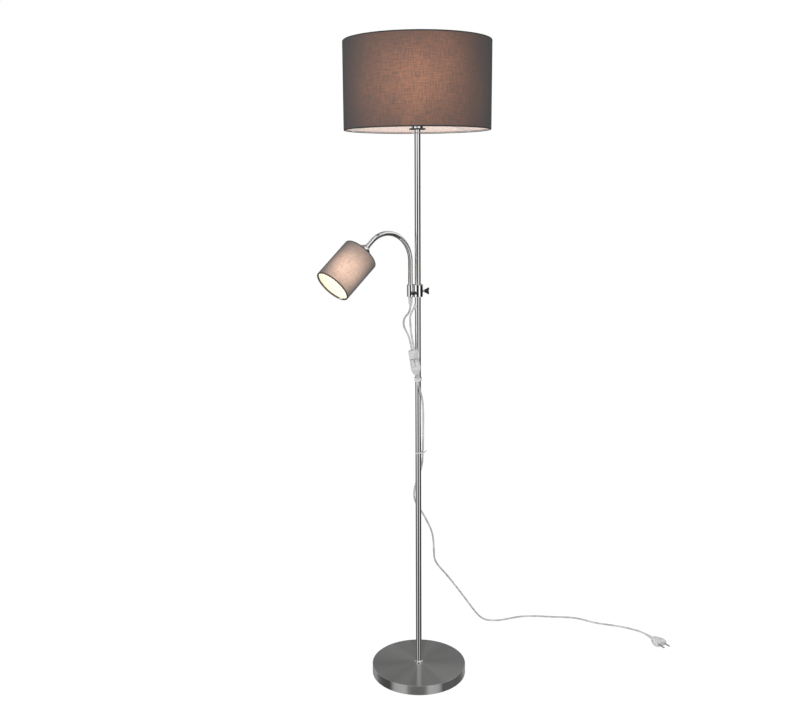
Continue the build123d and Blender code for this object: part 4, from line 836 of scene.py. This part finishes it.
def clear_vinyl(name, level, through):
    """Clear plastic gone milky: level is how pale it is, through how much light it lets by."""
    recipe = finish_named(name)
    palest = 0.95
    cloud = recipe.noise(recipe.place(), scale=45.0, detail=3.0)
    return recipe.finished(recipe.skin({
        "Base Color": recipe.mix(recipe.between(cloud, 0.35, 0.65), grey(level * 0.8),
                                 grey(min(level * 1.15, palest))),
        "Roughness": 0.18 + cloud * 0.1,
        "IOR": 1.52,
        "Transmission Weight": through,
        "Coat Weight": 0.3,
        "Coat Roughness": 0.08}))


lead_diameter = 0.005
sheath = clear_vinyl("clear_sheath", 0.74, 0.35)
clear_plastic = clear_vinyl("clear_plastic", 0.97, 0.22)

reading_route = [
    (-0.018, 0, 0.9785), (-0.0196, -0.0012, 0.962), (-0.034, -0.0045, 0.949),
    (-0.0362, -0.010, 0.929), (-0.0234, -0.015, 0.907), (-0.01742, -0.0121, 0.88249),
    (-0.01491, -0.0121, 0.86568)]
main_route = [
    (-0.00943, -0.0066, 0.97229), (-0.01706, -0.01195, 0.96118), (-0.0194, -0.014, 0.947),
    (-0.0182, -0.0134, 0.930), (-0.0168, -0.0112, 0.9115), (-0.0138, -0.0117, 0.896),
    (-0.01144, -0.0121, 0.88035), (-0.00937, -0.0121, 0.86651)]
mains_route = [
    (-0.00386, -0.0121, 0.81071), (-0.00076, -0.0121, 0.78994), (0.0047, -0.0113, 0.766),
    (0.0096, -0.0084, 0.7485), (0.0123, -0.004, 0.728), (0.0131, -0.0024, 0.693),
    (0.0126, 0.0006, 0.640), (0.0114, 0.0019, 0.588), (0.0088, 0.0082, 0.562),
    (0.0025, 0.0128, 0.541), (-0.0045, 0.0126, 0.522), (-0.0098, 0.0093, 0.506),
    (-0.012, 0.005, 0.4895), (-0.0098, 0.0092, 0.473), (-0.0025, 0.0135, 0.4575),
    (0.0075, 0.0145, 0.4415), (0.016, 0.017, 0.425), (0.027, 0.023, 0.401),
    (0.0355, 0.030, 0.378), (0.0395, 0.039, 0.350), (0.0405, 0.048, 0.319),
    (0.042, 0.058, 0.291), (0.051, 0.075, 0.267), (0.0705, 0.100, 0.2345),
    (0.0956, 0.1325, 0.1895), (0.1206, 0.1685, 0.1407), (0.1418, 0.205, 0.0964),
    (0.160, 0.239, 0.0565), (0.1775, 0.2655, 0.0245), (0.1945, 0.2795, 0.0065),
    (0.214, 0.2835, 0.0025), (0.236, 0.2825, 0.0025), (0.264, 0.293, 0.0025),
    (0.301, 0.309, 0.0025), (0.345, 0.312, 0.0025), (0.398, 0.306, 0.0025),
    (0.450, 0.3035, 0.0025), (0.478, 0.294, 0.0025), (0.502, 0.277, 0.0025),
    (0.529, 0.264, 0.0025), (0.570, 0.2525, 0.0025), (0.600, 0.2405, 0.0025),
    (0.621, 0.226, 0.0032), (0.64146, 0.20208, 0.00685), (0.651, 0.1845, 0.00685)]


def lead_curve(name, route, bevel):
    curve = bpy.data.curves.new(name, "CURVE")
    curve.dimensions = "3D"
    spline = curve.splines.new("NURBS")
    spline.points.add(len(route) - 1)
    for point, place in zip(spline.points, route):
        point.co = (*place, 1.0)
    spline.order_u = 3
    spline.use_endpoint_u = True
    spline.resolution_u = 10
    curve.resolution_u = 10
    curve.bevel_depth = bevel
    curve.bevel_resolution = 5
    curve.use_fill_caps = bevel > 0
    return added(name, curve)


def line_of(route):
    """The points that a lead follows, read from its own curve."""
    guide = lead_curve("guide", route, 0.0)
    bpy.context.view_layer.update()
    mesh = bpy.data.meshes.new_from_object(guide)
    points = [vertex.co.copy() for vertex in mesh.vertices]
    bpy.data.objects.remove(guide)
    return points


def length_of(points):
    return sum((b - a).length for a, b in zip(points, points[1:]))


def lead_tube(name, points):
    """A mesh tube along a line, for a lead that has to bend when the clamp moves."""
    sides = 16
    vertices = []
    across = Vector((0.0, 1.0, 0.0))
    for k, point in enumerate(points):
        ahead = points[min(k + 1, len(points) - 1)] - points[max(k - 1, 0)]
        ahead.normalize()
        across = (across - ahead * across.dot(ahead)).normalized()
        lift = ahead.cross(across)
        for side in range(sides):
            angle = 2 * pi * side / sides
            vertices.append(point + (across * cos(angle) + lift * sin(angle)) * lead_diameter / 2)
    return ringed(name, vertices, sides)


def add_reading_lead():
    """Two lengths: the lower one bends as the clamp slides, the upper one as it swivels."""
    points = line_of(reading_route)
    middle = len(points) // 2
    upper = points[:middle + 1]
    lower = points[middle:]
    top = lead_tube("reading_lead_upper", upper)
    bottom = lead_tube("reading_lead_lower", lower)
    for piece in (top, bottom):
        piece.data.materials.append(sheath)
        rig.slot(piece, "clear_pvc")
    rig.blend(top, "bush", "clamp", start=upper[-1], end=upper[0])
    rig.blend(bottom, "root", "bush", start=lower[-1], end=lower[0])
    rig.replaces(top, "reading_lead")
    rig.replaces(bottom, "reading_lead")
    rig.cord(top, exit=upper[0], length=length_of(upper), diameter=lead_diameter,
            far_end="object", stiffness="medium", lay="loose", path=upper,
            with_pieces=[frame["nodes"]["strain_relief"]])
    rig.cord(bottom, exit=lower[0], length=length_of(lower), diameter=lead_diameter,
            far_end="object", stiffness="medium", lay="loose", path=lower)


def add_lead(name, route, nodes, far_end, with_pieces):
    lead = lead_curve(name, route, lead_diameter / 2)
    lead.data.materials.append(sheath)
    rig.ride(lead, "root")
    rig.replaces(lead, *nodes)
    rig.slot(lead, "clear_pvc")
    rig.cord(lead, exit=route[0], length=length_of(line_of(route)), diameter=lead_diameter,
            far_end=far_end, stiffness="medium", lay="loose",
            with_pieces=[frame["nodes"][piece] for piece in with_pieces])


def add_hidden_lead():
    """The main lamp's lead inside the pole, from the outlet up to the lampholder."""
    low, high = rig.box("pole_lead")
    middle = (low.x + high.x) / 2
    route = [(middle, 0.0, low.z), (middle * 0.2, 0.0005, low.z + 0.02),
             (0.0008, 0.0, low.z + 0.1), (-0.0006, 0.0006, (low.z + high.z) / 2),
             (0.0007, -0.0004, high.z - 0.1), (0.0, 0.0, high.z)]
    lead = lead_curve("lead_in_pole", route, lead_diameter / 2)
    lead.data.materials.append(sheath)
    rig.ride(lead, "root")
    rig.replaces(lead, "pole_lead")
    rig.slot(lead, "clear_pvc")


add_reading_lead()
add_lead("main_lead_outside", main_route, ["main_lead"], "object", ["cable_grommet"])
add_lead("mains_cord_clear", mains_route, ["mains_cord"], "plug", ["plug_body", "plug_pins"])
add_hidden_lead()


# ---------------------------------------------------------------- switch, clip, tie and plug
# Clear mouldings in the same milky plastic: a case with two rockers, a clip that holds the
# cord to the pole, a tie round both, and the plug with its pins.

dress(clear_plastic, "cable_grommet", "strain_relief", "switch_base", "switch_cover",
      "main_rocker", "reading_rocker", "pole_clip", "cable_tie", "plug_body")
dress(contact_brass, "switch_terminals")
dress(zinc, "plug_pins")


# ---------------------------------------------------------------- studio
# A white floor and a white surround. In reflections the surround is upright white panels and
# walls with dark gaps between them, which put the light and dark stripes in the metal.

def add_camera():
    distance = 2.2729
    height = 1.2834
    pitch = radians(11.0)
    yaw = radians(-1.13)
    roll = radians(-0.37)
    focal_pixels = 930.5
    image_width = 800
    data = bpy.data.cameras.new("camera")
    data.sensor_fit = "HORIZONTAL"
    data.sensor_width = 36.0
    data.lens = focal_pixels / image_width * data.sensor_width
    camera = added("camera", data)
    bpy.context.scene.camera = camera
    ahead = Vector((sin(yaw) * cos(pitch), cos(yaw) * cos(pitch), -sin(pitch)))
    level = Vector((cos(yaw), -sin(yaw), 0.0))
    above = level.cross(ahead)
    right = level * cos(roll) + above * sin(roll)
    up = above * cos(roll) - level * sin(roll)
    turn = Matrix((right, up, -ahead)).transposed()
    camera.matrix_world = Matrix.Translation((0.0, -distance, height)) @ turn.to_4x4()


def add_floor():
    half = 8.0
    mesh = bpy.data.meshes.new("floor")
    mesh.from_pydata([(-half, -half, 0), (half, -half, 0), (half, half, 0), (-half, half, 0)],
                     [], [(0, 1, 2, 3)])
    floor = added("floor", mesh)
    recipe = finish_named("floor_white")
    white_level = 1.09
    white_share = 0.85
    seen = recipe.node("LightPath", output="Is Camera Ray")
    seen = seen + seen.other("Is Glossy Ray") + seen.other("Is Transmission Ray")
    paint = recipe.node("BsdfDiffuse", {}, {"Color": grey(0.93)})
    white = recipe.node("Emission", {}, {"Color": grey(1.0), "Strength": white_level})
    floor.data.materials.append(recipe.finished(recipe.node("MixShader", {}, {
        0: seen.math("MINIMUM", seen, 1.0) * white_share, 1: paint, 2: white})))
    unmirrored(floor)
    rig.stage(floor)


def add_surround():
    """White to the camera, panels and gaps to the metal, and an even light to all the rest."""
    ambient = 0.76
    gap = 0.02
    panel = 1.25
    front_wall = 1.1
    back_wall = 0.17
    kept_low = 0.5
    kept_behind = 0.55
    left_panel = (radians(-47.0), radians(19.0))
    right_panel = (radians(37.0), radians(17.0))
    soft = radians(3.0)
    world = bpy.data.worlds.new("surround")
    bpy.context.scene.world = world
    recipe = Recipe(world)
    ray = recipe.node("LightPath", output="Is Camera Ray")
    seen = ray.math("MINIMUM", ray + ray.other("Is Transmission Ray"), 1.0)
    glossy = ray.other("Is Glossy Ray") * (1.0 - seen)
    x, y, z = recipe.parts_of(recipe.node("TexCoord", output="Generated"))
    turn = x.math("ARCTAN2", x, y.math("ABSOLUTE", y))
    upright_panels = 0.0
    for middle, reach in (left_panel, right_panel):
        beside = turn.math("ABSOLUTE", turn - middle)
        upright_panels = upright_panels + (1.0 - recipe.between(beside, reach - soft, reach + soft))
    behind = recipe.between(y, -0.1, 0.1)
    high = recipe.between(z, 0.15, 0.45)
    above = recipe.between(z, 0.94, 0.99)
    low = 1.0 - recipe.between(z, -0.55, -0.15)
    panels = gap + upright_panels * (1.0 - above) * (1.0 - behind * (1.0 - kept_behind)) * (
        1.0 - low * (1.0 - kept_low)) * panel
    ahead = 1.0 - recipe.between(turn.math("ABSOLUTE", turn), radians(50.0), radians(60.0))
    under_roof = 1.0 - recipe.between(z, 0.76, 0.88)
    overhead = recipe.between(z, -0.05, 0.15) * under_roof * (1.0 - behind) * ahead
    right_wall = recipe.between(turn, radians(60.0), radians(68.0)) * recipe.between(
        z, 0.10, 0.20) * under_roof
    walls = panels.math("MAXIMUM", overhead * front_wall, right_wall)
    panels = panels.math("MAXIMUM", panels + high * behind * back_wall, walls)
    strength = seen + glossy * panels + (1.0 - seen) * (1.0 - glossy) * ambient
    recipe.finished(recipe.node("Background", {}, {"Color": grey(1.0), "Strength": strength}))


def add_lamp(name, place, target, size, power, warmth):
    data = bpy.data.lights.new(name, "AREA")
    data.shape = "RECTANGLE"
    data.size = size[0]
    data.size_y = size[1]
    data.energy = power
    data.color = (1.0, 1.0 - warmth / 2, 1.0 - warmth)
    lamp = added(name, data)
    lamp.location = place
    lamp.rotation_euler = (Vector(target) - Vector(place)).to_track_quat("-Z", "Y").to_euler()
    lamp.visible_camera = False
    unmirrored(lamp)


add_camera()
add_floor()
add_surround()
add_lamp("soft_left", (-2.6, -2.2, 2.6), (0, 0, 0.8), (1.6, 2.2), 30.0, 0.0)
add_lamp("soft_right", (2.4, -1.8, 2.2), (0, 0, 0.8), (1.4, 2.0), 4.0, 0.02)
bpy.context.scene.view_settings.view_transform = "Standard"


# ---------------------------------------------------------------- sizes for comparison
# The box of the solids and the box of the dressed lamp, its cords and its plug included. They
# are written side by side, so that the two can be compared.

bpy.context.view_layer.update()
visual_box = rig.bounds()
with open("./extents.json", "w") as sizes:
    json.dump({"cad": [list(corner) for corner in cad_box],
               "visual": [list(corner) for corner in visual_box]}, sizes)
